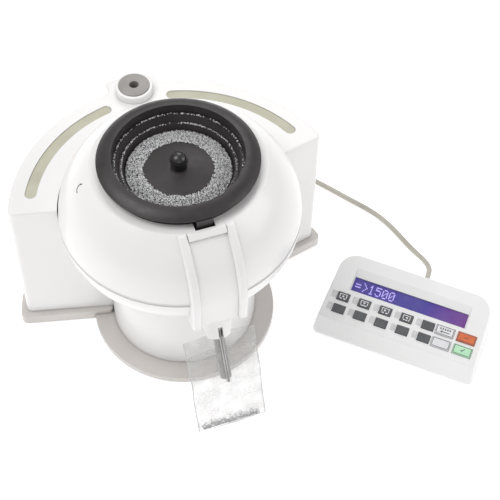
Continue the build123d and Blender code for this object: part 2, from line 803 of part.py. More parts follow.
# ---------------------------------------------------------------- chute, sensor and outlet
def funnel_solid(inset):
    """Tapered funnel from under the bowl's spout to the top of the outlet tube."""
    with BuildPart() as solid:
        with BuildSketch(outlet_plane.offset(tube_tail)):
            Circle(tube_radius + funnel_wall - inset - 0.8 * (funnel_wall - inset) / funnel_wall)
        with BuildSketch(Plane((0, funnel_top_y, funnel_top_height))):
            Circle(funnel_top_radius - inset)
        loft()
    return solid.part


with BuildPart() as chute_funnel:
    add(funnel_solid(0))
    add(funnel_solid(funnel_wall), mode=Mode.SUBTRACT)
finish(chute_funnel, "chute_funnel")

tube_top = outlet_plane.from_local_coords((0, 0, tube_tail))
funnel_lean = (tube_top.Y - funnel_top_y) / (funnel_top_height - tube_top.Z)
sensor_y = funnel_top_y + (funnel_top_height - sensor_height) * funnel_lean

with BuildPart() as sensor_block:
    with Locations((0, sensor_y, sensor_height)):
        Box(2 * sensor_half_width, sensor_length, sensor_thickness)
    add(funnel_solid(0), mode=Mode.SUBTRACT)
    with BuildSketch(Plane.YZ):
        with Locations((sensor_y, sensor_height)):
            Circle(eye_radius)
    extrude(amount=sensor_half_width, both=True, mode=Mode.SUBTRACT)
finish(sensor_block, "sensor_block")

with BuildPart() as sensor_eyes:
    for side in (-1, 1):
        with BuildSketch(Plane.YZ.offset(side * sensor_half_width)):
            with Locations((sensor_y, sensor_height)):
                Circle(eye_radius - fit)
        extrude(amount=-side * eye_depth)
finish(sensor_eyes, "sensor_eyes")

with BuildPart() as outlet_tube:
    with BuildSketch(outlet_plane.offset(-tube_reach)):
        Circle(tube_radius)
        Circle(tube_bore_radius, mode=Mode.SUBTRACT)
    extrude(amount=tube_reach + tube_tail)
finish(outlet_tube, "outlet_tube")

# ---------------------------------------------------------------- bag clip and bag
clip_pivot = outlet_plane.from_local_coords((0, -rod_offset, clip_pin_lift))


def clip_axis_plane(across):
    """Plane square to the clip's pin, at a distance from the middle."""
    return Plane(clip_pivot + Vector(across, 0, 0), x_dir=(0, 0, 1), z_dir=(1, 0, 0))


with BuildPart() as bag_clip_rod:
    with BuildSketch(clip_axis_plane(-clip_eye_width / 2)):
        Circle(clip_eye_radius)
    extrude(amount=clip_eye_width)
    with BuildSketch(outlet_plane.offset(clip_pin_lift)):
        with Locations((0, -rod_offset)):
            Circle(rod_radius)
    extrude(amount=-clip_pin_lift - tube_reach - rod_overhang)
    fillet(bag_clip_rod.edges().sort_by(Axis.Z)[0], 0.6)
    with BuildSketch(clip_axis_plane(-clip_eye_width / 2)):
        Circle(clip_pin_radius + fit)
    extrude(amount=clip_eye_width, mode=Mode.SUBTRACT)
finish(bag_clip_rod, "bag_clip_rod")

with BuildPart() as clip_pin:
    with BuildSketch(clip_axis_plane(-clip_pin_length / 2)):
        Circle(clip_pin_radius)
    extrude(amount=clip_pin_length)
finish(clip_pin, "clip_pin")

with BuildPart() as clip_spring:
    with BuildSketch(clip_axis_plane(clip_eye_width / 2 + clip_side_gap)):
        Circle(clip_spring_radius)
        Circle(clip_pin_radius + fit, mode=Mode.SUBTRACT)
    extrude(amount=clip_spring_length)
    with BuildSketch(outlet_plane):
        Circle(tube_radius + fit)
    extrude(amount=tube_tail, mode=Mode.SUBTRACT)
finish(clip_spring, "clip_spring")


def bag_plane(place, lift):
    """Cross-section plane of the hanging part of the bag, raised along the bag."""
    tilt = radians(bag_lean)
    return Plane(origin=place, x_dir=(1, 0, 0), z_dir=(0, sin(tilt), cos(tilt))).offset(lift)


def bag_solid(inset, lift):
    """The bag's flattened shape, from its mouth on the tube to its foot."""
    tube_half = tube_radius + bag_tube_gap + bag_film - inset
    sections = (
        (outlet_plane.offset(-1.2 + lift), tube_half),
        (outlet_plane.offset(-tube_reach - 0.5), tube_half),
        (bag_plane(bag_middle, 0), bag_middle_thickness / 2 - inset),
        (bag_plane(bag_foot, lift), bag_foot_thickness / 2 - inset),
    )
    half_width = bag_width / 2 - 2 * inset
    with BuildPart() as solid:
        for plane, half_thickness in sections:
            with BuildSketch(plane):
                with BuildLine():
                    ThreePointArc((-half_width, 0), (0, half_thickness), (half_width, 0))
                    ThreePointArc((half_width, 0), (0, -half_thickness), (-half_width, 0))
                make_face()
        loft(ruled=True)
    return solid.part


with BuildPart() as zip_bag:
    add(bag_solid(0, 0))
    add(bag_solid(bag_film, 1.0), mode=Mode.SUBTRACT)
finish(zip_bag, "zip_bag")

# ---------------------------------------------------------------- electronics
standoff_x = board_length / 2 - board_margin
standoff_y = board_width / 2 - board_margin
standoff_places = [(x, board_y + y) for x in (-standoff_x, standoff_x) for y in (-standoff_y, standoff_y)]

with BuildPart() as board_standoffs:
    with BuildSketch(Plane.XY.offset(foot_height)):
        with Locations(*standoff_places):
            Circle(standoff_radius)
    extrude(amount=standoff_height)
finish(board_standoffs, "board_standoffs")

with BuildPart() as main_board:
    board_bottom = foot_height + standoff_height
    with Locations((0, board_y, board_bottom)):
        Box(board_length, board_width, board_thickness, align=(Align.CENTER, Align.CENTER, Align.MIN))
    for x, y, length, width, height in board_components:
        with Locations((x, board_y + y, board_bottom + board_thickness)):
            Box(length, width, height, align=(Align.CENTER, Align.CENTER, Align.MIN))
finish(main_board, "main_board")

with BuildPart() as power_supply:
    with Locations((*supply_place, foot_height)):
        Box(*supply_size, align=(Align.CENTER, Align.CENTER, Align.MIN))
    fillet(power_supply.edges().filter_by(Axis.Z), 3)
finish(power_supply, "power_supply")

back_y = sector_radius + tab_depth


def back_plane(height, depth):
    """Upright plane facing +Y on the rear pillar, at a depth under its face."""
    return Plane(origin=(0, back_y - depth, height), x_dir=(-1, 0, 0), z_dir=(0, 1, 0))


with BuildPart() as mains_inlet:
    with BuildSketch(back_plane(inlet_z, inlet_depth)):
        Rectangle(inlet_width, inlet_height)
    extrude(amount=inlet_depth)
    with BuildSketch(back_plane(inlet_z, 0)):
        RectangleRounded(inlet_width + inlet_rim, inlet_height + inlet_rim, inlet_rim / 2)
    extrude(amount=inlet_flange)
    with BuildSketch(back_plane(inlet_z, inlet_cavity)):
        Rectangle(inlet_width - 2 * inlet_wall, inlet_height - 2 * inlet_wall)
    extrude(amount=inlet_cavity + inlet_flange, mode=Mode.SUBTRACT)
    with BuildSketch(back_plane(inlet_z, inlet_cavity)):
        with Locations((-7, 3), (0, 5), (7, 3)):
            Rectangle(2, 4)
    extrude(amount=inlet_pin_length)
finish(mains_inlet, "mains_inlet")

with BuildPart() as switch_body:
    with BuildSketch(back_plane(switch_z, switch_depth)):
        Rectangle(switch_width, switch_height)
    extrude(amount=switch_depth)
    with BuildSketch(back_plane(switch_z, 0)):
        RectangleRounded(switch_width + switch_rim, switch_height + switch_rim, switch_rim / 2)
    extrude(amount=switch_flange)
    with BuildSketch(back_plane(switch_z, switch_depth - switch_wall)):
        Rectangle(switch_width - 2 * switch_wall, switch_height - 2 * switch_wall)
    extrude(amount=switch_depth + switch_flange, mode=Mode.SUBTRACT)
finish(switch_body, "switch_body")

rocker_half_width = switch_width / 2 - switch_wall - rocker_gap
rocker_turn = radians(rocker_tip)

with BuildPart() as power_rocker:
    with BuildSketch(Plane(origin=(-rocker_half_width, back_y - rocker_axis_depth, switch_z),
                           x_dir=(0, cos(rocker_turn), sin(rocker_turn)), z_dir=(1, 0, 0))):
        with BuildLine():
            Polyline((rocker_face, 0), (rocker_crest, rocker_end), (-rocker_shoulder, rocker_end - 1),
                     (-rocker_toe, 0), (-rocker_shoulder, 1 - rocker_end), (rocker_crest, -rocker_end),
                     (rocker_face, 0))
        make_face()
    extrude(amount=2 * rocker_half_width)
    fillet(power_rocker.edges().filter_by(Axis.X), 0.5)
finish(power_rocker, "power_rocker")

with BuildPart() as cable_gland:
    with BuildSketch(gland_plane.offset(-2 * wall)):
        Circle(gland_root_radius)
    extrude(amount=2 * wall)
    with BuildSketch(gland_plane):
        Circle(gland_root_radius)
    with BuildSketch(gland_plane.offset(gland_reach)):
        Circle(gland_tip_radius)
    loft()
finish(cable_gland, "cable_gland")


# ---------------------------------------------------------------- keypad
def keypad_outline(inset):
    """Plan outline with small front and large back corners."""
    with BuildSketch() as sketch:
        Rectangle(keypad_length, keypad_depth, align=(Align.MIN, Align.MIN))
        fillet(sketch.vertices().group_by(Axis.Y)[-1], keypad_back_corner)
        fillet(sketch.vertices().group_by(Axis.Y)[0], keypad_front_corner)
        if inset:
            offset(amount=-inset)
    return sketch.sketch


def keypad_solid(inset):
    """Wedge of the keypad's upper half, shrunk inwards by inset."""
    tilt = Vector(0, keypad_front_lean, keypad_front_height - keypad_seam).normalized()
    front_normal = keypad_plane.y_dir * -tilt.Z + Vector(0, 0, tilt.Y)
    front = Plane(origin=keypad_plane.from_local_coords((0, 0, keypad_seam)) - front_normal * inset,
                  x_dir=keypad_plane.x_dir, z_dir=front_normal)
    with BuildPart() as solid:
        with BuildSketch(keypad_plane.offset(keypad_seam)):
            add(keypad_outline(inset))
        extrude(amount=60, taper=keypad_draft)
        split(bisect_by=face_plane.offset(-inset), keep=Keep.BOTTOM)
        split(bisect_by=front, keep=Keep.BOTTOM)
    return solid.part


def face_box(left, low, length, height, top, bottom):
    """Box in the keypad's sloping face, between two levels above or below it."""
    with BuildPart() as box:
        with BuildSketch(face_plane.offset(bottom)):
            with Locations((left, low)):
                Rectangle(length, height, align=(Align.MIN, Align.MIN))
        extrude(amount=top - bottom)
    return box.part


module_top = -display_recess - glass_thickness - pane_gap
keys = []
for row, up in enumerate(key_rows):
    for column in range(key_columns):
        keys.append((f"key_{row + 1}_{column + 1}", key_first + column * key_pitch, up, key_size))
    for column in range(2):
        place = wide_key_first + column * wide_key_pitch
        keys.append((f"key_{row + 1}_{key_columns + column + 1}", place, up, wide_key_size))

with BuildPart() as keypad_post_bodies:
    with BuildSketch(keypad_plane.offset(keypad_seam)):
        with Locations(*keypad_posts):
            Circle(keypad_post_radius)
    extrude(amount=2 * keypad_front_height)
    add(keypad_solid(keypad_shell / 2), mode=Mode.INTERSECT)

with BuildPart() as keypad_top_shell:
    add(keypad_solid(0))
    fillet(keypad_top_shell.edges().group_by(Axis(face_plane.origin, face_plane.z_dir))[-1], 1.6)
    add(keypad_solid(keypad_shell), mode=Mode.SUBTRACT)
    add(keypad_post_bodies.part)
    add(face_box(display_left - display_frame, display_low - display_frame, display_length + 2 * display_frame,
                 display_height + display_bezel + display_frame_top, -keypad_shell / 2, module_top))
    with BuildSketch(face_plane.offset(0.01)):
        with Locations((display_left - display_bevel, display_low - display_bevel)):
            Rectangle(display_length + 2 * display_bevel, display_height + display_bezel + display_bevel,
                      align=(Align.MIN, Align.MIN))
    with BuildSketch(face_plane.offset(-display_recess)):
        with Locations((display_left, display_low)):
            Rectangle(display_length, display_height, align=(Align.MIN, Align.MIN))
    loft(mode=Mode.SUBTRACT)
    add(face_box(display_left, display_low, display_length, display_height, -display_recess + 0.1,
                 module_top - 0.1), mode=Mode.SUBTRACT)
    for name, across, up, (width, height) in keys:
        add(face_box(across - width / 2 - key_gap, up - height / 2 - key_gap, width + 2 * key_gap,
                     height + 2 * key_gap, 1, -keypad_shell - 0.5), mode=Mode.SUBTRACT)
    with BuildSketch(relief_plane.offset(-keypad_relief_reach)):
        Circle(keypad_relief_radius + fit)
    extrude(amount=2 * keypad_relief_reach, mode=Mode.SUBTRACT)
    with BuildSketch(keypad_plane.offset(keypad_seam)):
        with Locations(*keypad_posts):
            Circle(keypad_screw_radius)
    extrude(amount=keypad_foot_height + keypad_screw_sink + keypad_screw_length - keypad_seam,
            mode=Mode.SUBTRACT)
finish(keypad_top_shell, "keypad_top_shell")

with BuildPart() as keypad_bottom_shell:
    with BuildSketch(keypad_plane.offset(keypad_foot_height)):
        add(keypad_outline(0.4))
    extrude(amount=keypad_seam - keypad_foot_height)
    fillet(keypad_bottom_shell.edges().group_by(Axis.Z)[0], 0.8)
    with BuildSketch(keypad_plane.offset(keypad_foot_height + keypad_floor)):
        add(keypad_outline(keypad_shell))
    extrude(amount=keypad_seam, mode=Mode.SUBTRACT)
    with BuildSketch(keypad_plane.offset(keypad_foot_height + keypad_floor)):
        with Locations(*keypad_posts):
            Circle(keypad_post_radius)
    extrude(amount=keypad_seam - keypad_foot_height - keypad_floor)
    with BuildSketch(keypad_plane.offset(keypad_foot_height)):
        with Locations(*keypad_posts):
            Circle(keypad_screw_head + fit)
    extrude(amount=keypad_screw_sink, mode=Mode.SUBTRACT)
    with BuildSketch(keypad_plane.offset(keypad_foot_height)):
        with Locations(*keypad_posts):
            Circle(keypad_screw_radius)
    extrude(amount=keypad_seam, mode=Mode.SUBTRACT)
    with BuildSketch(keypad_plane.offset(keypad_foot_height)):
        with Locations(*keypad_foot_places):
            Circle(keypad_foot_radius)
    extrude(amount=keypad_foot_seat, mode=Mode.SUBTRACT)
finish(keypad_bottom_shell, "keypad_bottom_shell")

with BuildPart() as keypad_feet:
    with BuildSketch(keypad_plane):
        with Locations(*keypad_foot_places):
            Circle(keypad_foot_radius - fit)
    extrude(amount=keypad_foot_height + keypad_foot_seat)
finish(keypad_feet, "keypad_feet")

with BuildPart() as keypad_screws:
    with BuildSketch(keypad_plane.offset(keypad_foot_height + keypad_screw_sink)):
        with Locations(*keypad_posts):
            Circle(keypad_screw_head)
    extrude(amount=-keypad_head_height)
    with BuildSketch(keypad_plane.offset(keypad_foot_height + keypad_screw_sink)):
        with Locations(*keypad_posts):
            Circle(keypad_screw_radius)
    extrude(amount=keypad_screw_length)
finish(keypad_screws, "keypad_screws")

with BuildPart() as display_glass:
    add(face_box(display_left + fit, display_low + fit, display_length - 2 * fit, display_height - 2 * fit,
                 -display_recess, -display_recess - glass_thickness))
finish(display_glass, "display_glass")

with BuildPart() as display_module:
    add(face_box(display_left - display_frame, display_low - module_margin, display_length + 2 * display_frame,
                 display_height + 2 * module_margin, module_top, module_top - module_thickness))
finish(display_module, "display_module")

with BuildPart() as keypad_board:
    board_top = key_rows[0] + key_size[1] / 2 + key_flange_margin
    add(face_box(keypad_board_left, keypad_board_low, keypad_length - 2.4 * keypad_board_left,
                 board_top - keypad_board_low, -keypad_board_drop, -keypad_board_drop - board_thickness))
finish(keypad_board, "keypad_board")

for name, across, up, size in keys:
    with BuildPart() as key:
        flange_top = -keypad_shell - 0.1
        with BuildSketch(face_plane.offset(flange_top)):
            with Locations((across, up)):
                RectangleRounded(*size, key_corner)
        extrude(amount=key_proud - flange_top)
        fillet(key.edges().group_by(Axis(face_plane.origin, face_plane.z_dir))[-1], key_edge)
        with BuildSketch(face_plane.offset(flange_top)):
            with Locations((across, up)):
                Rectangle(size[0] + 2 * key_flange_margin, size[1] + 2 * key_flange_margin)
        extrude(amount=-key_flange)
        with BuildSketch(face_plane.offset(flange_top - key_flange)):
            with Locations((across, up)):
                Circle(key_stem_radius)
        extrude(amount=-key_stem_length)
    finish(key, name)

with BuildPart() as keypad_relief:
    with BuildSketch(relief_plane.offset(-keypad_relief_tail)):
        Circle(keypad_relief_radius)
    extrude(amount=keypad_relief_tail)
    with BuildSketch(relief_plane):
        Circle(keypad_relief_radius)
    with BuildSketch(relief_plane.offset(keypad_relief_length)):
        Circle(keypad_relief_tip_radius)
    loft()
finish(keypad_relief, "keypad_relief")

# ---------------------------------------------------------------- keypad cable
cable_points = [Vector(*polar(sector_radius + lead, gland_angle), gland_height) for lead in cable_leads]
cable_points += [Vector(*point) for point in cable_route]
cable_bends = []
for before, corner, after in zip(cable_points, cable_points[1:], cable_points[2:]):
    turn = radians((corner - before).get_angle(after - corner))
    run = min((corner - before).length, (after - corner).length)
    cable_bends.append(0.45 * run / sin(turn / 2) * cos(turn / 2))
print("cable bend radii:", [round(bend, 1) for bend in cable_bends])

with BuildPart() as keypad_cable:
    with BuildLine() as route:
        FilletPolyline(*cable_points, radius=cable_bends)
    with BuildSketch(Plane(origin=route.line @ 0, z_dir=route.line % 0)):
        Circle(cable_radius)
    sweep()
finish(keypad_cable, "keypad_cable")
print("cable length:", round(sum(edge.length for edge in route.edges()), 1))
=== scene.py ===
import json
from math import cos, exp, pi, radians, sin, sqrt

import bpy
import numpy as np
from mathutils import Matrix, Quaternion, Vector, noise


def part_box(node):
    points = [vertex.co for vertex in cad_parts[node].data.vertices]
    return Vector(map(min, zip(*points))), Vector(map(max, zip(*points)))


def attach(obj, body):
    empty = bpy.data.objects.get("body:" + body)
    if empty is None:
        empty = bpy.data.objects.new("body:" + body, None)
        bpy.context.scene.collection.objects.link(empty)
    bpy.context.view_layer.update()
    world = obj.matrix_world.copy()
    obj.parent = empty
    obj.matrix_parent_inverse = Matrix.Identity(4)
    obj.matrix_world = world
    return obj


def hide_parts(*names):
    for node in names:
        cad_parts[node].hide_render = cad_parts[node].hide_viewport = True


# Looks of a vibratory tablet and pellet counter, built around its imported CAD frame. Metres, +Z up,
# the outlet faces -Y and the keypad lies to the front right.

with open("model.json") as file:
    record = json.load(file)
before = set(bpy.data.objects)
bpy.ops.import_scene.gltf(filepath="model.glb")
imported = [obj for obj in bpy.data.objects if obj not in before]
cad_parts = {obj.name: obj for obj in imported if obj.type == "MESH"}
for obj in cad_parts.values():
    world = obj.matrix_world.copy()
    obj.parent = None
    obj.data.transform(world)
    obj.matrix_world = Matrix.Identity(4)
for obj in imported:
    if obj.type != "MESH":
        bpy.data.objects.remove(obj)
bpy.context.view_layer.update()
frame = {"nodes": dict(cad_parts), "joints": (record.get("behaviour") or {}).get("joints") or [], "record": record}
nodes = frame["nodes"]
slot_of = {part["node"]: part["material_slot"] for part in frame["record"]["subparts"]}
MM = 0.001                                        # metres in a millimetre


# ---------------------------------------------------------------- camera
def make_camera():
    """Camera at the catalogue picture's viewing angle."""
    target = Vector((0.0611, 0.0062, 0.0469))
    distance = 1.081
    azimuth, elevation, roll = radians(-20.67), radians(52.63), radians(1.65)
    back = Vector((sin(azimuth) * cos(elevation), -cos(azimuth) * cos(elevation),
                   sin(elevation)))
    data = bpy.data.cameras.new("camera")
    data.lens = 92.08
    data.sensor_width = 36.0
    data.clip_start = 0.05
    data.clip_end = 20.0
    camera = bpy.data.objects.new("camera", data)
    bpy.context.scene.collection.objects.link(camera)
    camera.rotation_mode = "QUATERNION"
    camera.location = target + back * distance
    aim = (-back).to_track_quat("-Z", "Y")
    camera.rotation_quaternion = aim @ Quaternion((0, 0, 1), roll)
    bpy.context.scene.camera = camera


make_camera()


# ---------------------------------------------------------------- keypad cable
CABLE_DIAMETER = 4.6 * MM
CABLE_ROUTE = [                                   # millimetres, from the gland to the keypad
    (120.66, 87.67, 18.0), (128.71, 93.52, 18.0), (136.8, 96.2, 15.7), (145.3, 96.2, 11.7),
    (153.3, 93.4, 7.4), (160.5, 88.0, 4.0), (168.0, 79.8, 2.5), (176.8, 66.9, 2.4),
    (186.3, 54.2, 2.4), (193.4, 43.6, 2.4), (199.0, 32.4, 2.4), (203.3, 20.2, 2.4),
    (206.6, 7.4, 2.4), (209.6, -4.6, 2.4), (212.4, -14.8, 3.4), (213.8, -24.0, 6.2),
    (213.5, -33.2, 9.8), (211.0, -41.47, 12.0), (204.34, -48.93, 12.0),
]


def make_cable():
    """Cable from the gland on the rear housing to the strain relief on the keypad."""
    curve = bpy.data.curves.new("cable", "CURVE")
    curve.dimensions = "3D"
    spline = curve.splines.new("NURBS")
    spline.points.add(len(CABLE_ROUTE) - 1)
    for point, place in zip(spline.points, CABLE_ROUTE):
        point.co = (*(Vector(place) * MM), 1)
        point.radius = CABLE_DIAMETER / 2
    spline.order_u = 3
    spline.use_endpoint_u = True
    spline.resolution_u = 12
    curve.bevel_depth = 1.0                       # times each point's radius
    curve.bevel_resolution = 6
    cable = bpy.data.objects.new("cable", curve)
    bpy.context.scene.collection.objects.link(cable)
    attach(cable, "root")
    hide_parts("keypad_cable")
    return cable


cable = make_cable()


# ---------------------------------------------------------------- materials
def shader(name):
    """A new material with its node tree's parts."""
    material = bpy.data.materials.new(name)
    material.use_nodes = True
    tree = material.node_tree
    return material, tree.nodes, tree.links, tree.nodes["Principled BSDF"]


def noise_node(tree_nodes, links, coords, scale, detail=3.0, stretch=None, turn=(0, 0, 0)):
    """Noise texture in object space, stretched if asked, and its factor output."""
    texture = tree_nodes.new("ShaderNodeTexNoise")
    texture.inputs["Scale"].default_value = scale
    texture.inputs["Detail"].default_value = detail
    source = coords.outputs["Object"]
    if stretch:
        mapping = tree_nodes.new("ShaderNodeMapping")
        mapping.inputs["Rotation"].default_value = turn
        mapping.inputs["Scale"].default_value = stretch
        links.new(source, mapping.inputs["Vector"])
        source = mapping.outputs["Vector"]
    links.new(source, texture.inputs["Vector"])
    return texture.outputs["Factor" if "Factor" in texture.outputs else "Fac"]


def spread(tree_nodes, links, source, low, high, start=0.35, end=0.65):
    """Map a factor between start and end onto a range from low to high."""
    mapped = tree_nodes.new("ShaderNodeMapRange")
    mapped.inputs["From Min"].default_value = start
    mapped.inputs["From Max"].default_value = end
    mapped.inputs["To Min"].default_value = low
    mapped.inputs["To Max"].default_value = high
    links.new(source, mapped.inputs["Value"])
    return mapped.outputs["Result"]


def mixed(tree_nodes, links, factor, first, second):
    """Colour between two colours, each a tuple or another node's output."""
    mix = tree_nodes.new("ShaderNodeMix")
    mix.data_type = "RGBA"
    links.new(factor, mix.inputs["Factor"])
    for socket, colour in ((mix.inputs[6], first), (mix.inputs[7], second)):
        if isinstance(colour, tuple):
            socket.default_value = (*colour, 1)
        else:
            links.new(colour, socket)
    return mix.outputs[2]


CREVICE_SHADE_REACH = 3.5 * MM                          # how far from a corner the painted crevice shade reaches


def surface(name, dark, light, roughness, patch=30.0, grain=1400.0, depth=0.02,
            gloss_spread=0.05, metallic=0.0, stretch=None, turn=(0, 0, 0), crevice=None,
            **sockets):
    """Material whose colour drifts between two tones, with a fine grain and uneven gloss.

    patch and grain are noise scales per metre, depth is the grain's height in millimetres, and
    the crevice colour is painted shade, darkening corners and seams where ambient occlusion finds them.
    """
    material, tree_nodes, links, principled = shader(name)
    coords = tree_nodes.new("ShaderNodeTexCoord")
    drift = noise_node(tree_nodes, links, coords, patch)
    colour = mixed(tree_nodes, links, spread(tree_nodes, links, drift, 0, 1), dark, light)
    # Painted shade: ambient occlusion pulls the colour towards the crevice colour in corners and seams.
    if crevice:
        corners = tree_nodes.new("ShaderNodeAmbientOcclusion")
        corners.samples = 6
        corners.inputs["Distance"].default_value = CREVICE_SHADE_REACH
        openness = spread(tree_nodes, links, corners.outputs["AO"], 0, 1, 0.1, 0.75)
        colour = mixed(tree_nodes, links, openness, crevice, colour)
    links.new(colour, principled.inputs["Base Color"])
    gloss = noise_node(tree_nodes, links, coords, patch * 4, stretch=stretch, turn=turn)
    uneven = spread(tree_nodes, links, gloss, roughness - gloss_spread, roughness + gloss_spread)
    links.new(uneven, principled.inputs["Roughness"])
    fine = noise_node(tree_nodes, links, coords, grain, 2.0, stretch, turn)
    bump = tree_nodes.new("ShaderNodeBump")
    bump.inputs["Strength"].default_value = 1.0
    bump.inputs["Distance"].default_value = depth * MM
    links.new(fine, bump.inputs["Height"])
    links.new(bump.outputs["Normal"], principled.inputs["Normal"])
    principled.inputs["Metallic"].default_value = metallic
    for socket, value in sockets.items():
        principled.inputs[socket.replace("_", " ")].default_value = value
    return material


def turned_surface(name, dark, light, roughness, spacing, **sockets):
    """Surface with fine turned rings about the bowl's axis, spacing millimetres apart."""
    material = surface(name, dark, light, roughness, **sockets)
    tree_nodes, links = material.node_tree.nodes, material.node_tree.links
    coords = tree_nodes["Texture Coordinate"]
    rings = tree_nodes.new("ShaderNodeTexWave")
    rings.wave_type = "RINGS"
    rings.rings_direction = "Z"
    rings.inputs["Scale"].default_value = pi / 10 / (spacing * MM)
    rings.inputs["Distortion"].default_value = 0.4
    rings.inputs["Detail"].default_value = 1.0
    links.new(coords.outputs["Object"], rings.inputs["Vector"])
    groove = tree_nodes.new("ShaderNodeBump")
    groove.inputs["Strength"].default_value = 0.5
    groove.inputs["Distance"].default_value = 0.008 * MM
    links.new(rings.outputs["Fac"], groove.inputs["Height"])
    links.new(tree_nodes["Bump"].outputs["Normal"], groove.inputs["Normal"])
    links.new(groove.outputs["Normal"], tree_nodes["Principled BSDF"].inputs["Normal"])
    return material


press_joint = next(joint for joint in frame["joints"] if joint["name"] == "key_1_1_press")
FACE_UP = (-Vector(press_joint["axis"])).normalized()   # square to the keypad's sloping face
FACE_ACROSS = Vector((0, 0, 1)).cross(FACE_UP).normalized()
FACE_BACK = FACE_UP.cross(FACE_ACROSS)
PURPLE_FROM, PURPLE_TO = 12 * MM, 52 * MM               # from the display's middle to its right


def display_surface():
    """Back-lit display: blue-violet, turning purple towards its right end."""
    material, tree_nodes, links, principled = shader("display_back_light")
    low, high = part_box("display_glass")
    centre = ((low + high) / 2).dot(FACE_ACROSS)
    coords = tree_nodes.new("ShaderNodeTexCoord")
    along = tree_nodes.new("ShaderNodeVectorMath")
    along.operation = "DOT_PRODUCT"
    along.inputs[1].default_value = FACE_ACROSS
    links.new(coords.outputs["Object"], along.inputs[0])
    end = spread(tree_nodes, links, along.outputs["Value"], 0, 1, centre + PURPLE_FROM,
                 centre + PURPLE_TO)
    cloud = noise_node(tree_nodes, links, coords, 60.0, 2.0)
    blue = mixed(tree_nodes, links, cloud, (0.030, 0.020, 0.19), (0.040, 0.027, 0.24))
    colour = mixed(tree_nodes, links, end, blue, (0.12, 0.022, 0.19))
    links.new(colour, principled.inputs["Emission Color"])
    links.new(colour, principled.inputs["Base Color"])
    principled.inputs["Emission Strength"].default_value = 0.5
    principled.inputs["Roughness"].default_value = 0.35
    return material


def clear_surface(name, film, clarity, roughness):
    """Thin clear film or pane: mostly see-through, milky where film says, glossy at a slant."""
    material, tree_nodes, links, principled = shader(name)
    coords = tree_nodes.new("ShaderNodeTexCoord")
    cloud = noise_node(tree_nodes, links, coords, 90.0, 3.0)
    principled.inputs["Base Color"].default_value = (*film, 1)
    principled.inputs["Roughness"].default_value = roughness
    principled.inputs["Specular IOR Level"].default_value = 0.9
    slant = tree_nodes.new("ShaderNodeLayerWeight")
    slant.inputs["Blend"].default_value = 0.5
    glance = tree_nodes.new("ShaderNodeMath")
    glance.operation = "POWER"
    glance.inputs[1].default_value = 4.0
    links.new(slant.outputs["Facing"], glance.inputs[0])
    milk = spread(tree_nodes, links, cloud, clarity * 0.6, clarity * 1.4)
    total = tree_nodes.new("ShaderNodeMath")
    total.operation = "ADD"
    total.use_clamp = True
    links.new(milk, total.inputs[0])
    links.new(glance.outputs["Value"], total.inputs[1])
    through = tree_nodes.new("ShaderNodeBsdfTransparent")
    blend = tree_nodes.new("ShaderNodeMixShader")
    links.new(total.outputs["Value"], blend.inputs["Fac"])
    links.new(through.outputs["BSDF"], blend.inputs[1])
    links.new(principled.outputs["BSDF"], blend.inputs[2])
    links.new(blend.outputs["Shader"], tree_nodes["Material Output"].inputs["Surface"])
    return material


def grain_surface(name, tones):
    """Clear and white pellets: each grain has its own tone, from (place, tone) stops."""
    material, tree_nodes, links, principled = shader(name)
    geometry = tree_nodes.new("ShaderNodeNewGeometry")
    ramp = tree_nodes.new("ShaderNodeValToRGB")
    while len(ramp.color_ramp.elements) < len(tones):
        ramp.color_ramp.elements.new(0.5)
    for element, (place, tone) in zip(ramp.color_ramp.elements, tones):
        element.position = place
        element.color = (tone, tone, tone * 1.01, 1)
    links.new(geometry.outputs["Random Per Island"], ramp.inputs["Fac"])
    links.new(ramp.outputs["Color"], principled.inputs["Base Color"])
    principled.inputs["Roughness"].default_value = 0.16
    principled.inputs["Specular IOR Level"].default_value = 0.7
    principled.inputs["Transmission Weight"].default_value = 0.15
    return material


TUBE_LEAN = radians(30)                           # the outlet tube's lean from upright

# The crevice colours of these materials are painted shade in corners and seams.
white = surface("moulded_white", (0.812, 0.802, 0.797), (0.824, 0.814, 0.809), 0.30,
                patch=9.0, grain=900.0, depth=0.004, gloss_spread=0.02,
                crevice=(0.42, 0.41, 0.40), Coat_Weight=0.25, Coat_Roughness=0.12)
keypad_white = surface("keypad_white", (0.815, 0.81, 0.81), (0.835, 0.83, 0.83), 0.40,
                       patch=30.0, grain=2600.0, depth=0.02, crevice=(0.35, 0.35, 0.36))
black_cast = turned_surface("hard_anodised_black", (0.034, 0.029, 0.030),
                            (0.048, 0.041, 0.043), 0.42, 0.7, patch=40.0, grain=2200.0,
                            depth=0.012, gloss_spread=0.06, metallic=0.25,
                            crevice=(0.012, 0.011, 0.012))
steel = surface("brushed_tube", (0.28, 0.27, 0.26), (0.38, 0.37, 0.36), 0.32, patch=80.0,
                grain=900.0, depth=0.01, metallic=1.0, stretch=(1, 1, 0.06),
                turn=(TUBE_LEAN, 0, 0))
rubber_black = surface("black_rubber", (0.02, 0.02, 0.02), (0.035, 0.035, 0.035), 0.75,
                       patch=90.0)
plain_black = surface("black_plastic", (0.018, 0.018, 0.019), (0.03, 0.03, 0.031), 0.5,
                      patch=70.0)
green_board = surface("circuit_board", (0.02, 0.12, 0.05), (0.03, 0.2, 0.08), 0.45,
                      patch=260.0, depth=0.05)
iron = surface("cast_iron", (0.12, 0.12, 0.12), (0.2, 0.2, 0.2), 0.6, patch=70.0,
               grain=700.0, depth=0.12, metallic=0.7)


def key_surface(name, dark, light, roughness=0.45):
    """Moulded plastic of a key's top."""
    return surface(name, dark, light, roughness, patch=120.0, grain=2400.0, depth=0.03)
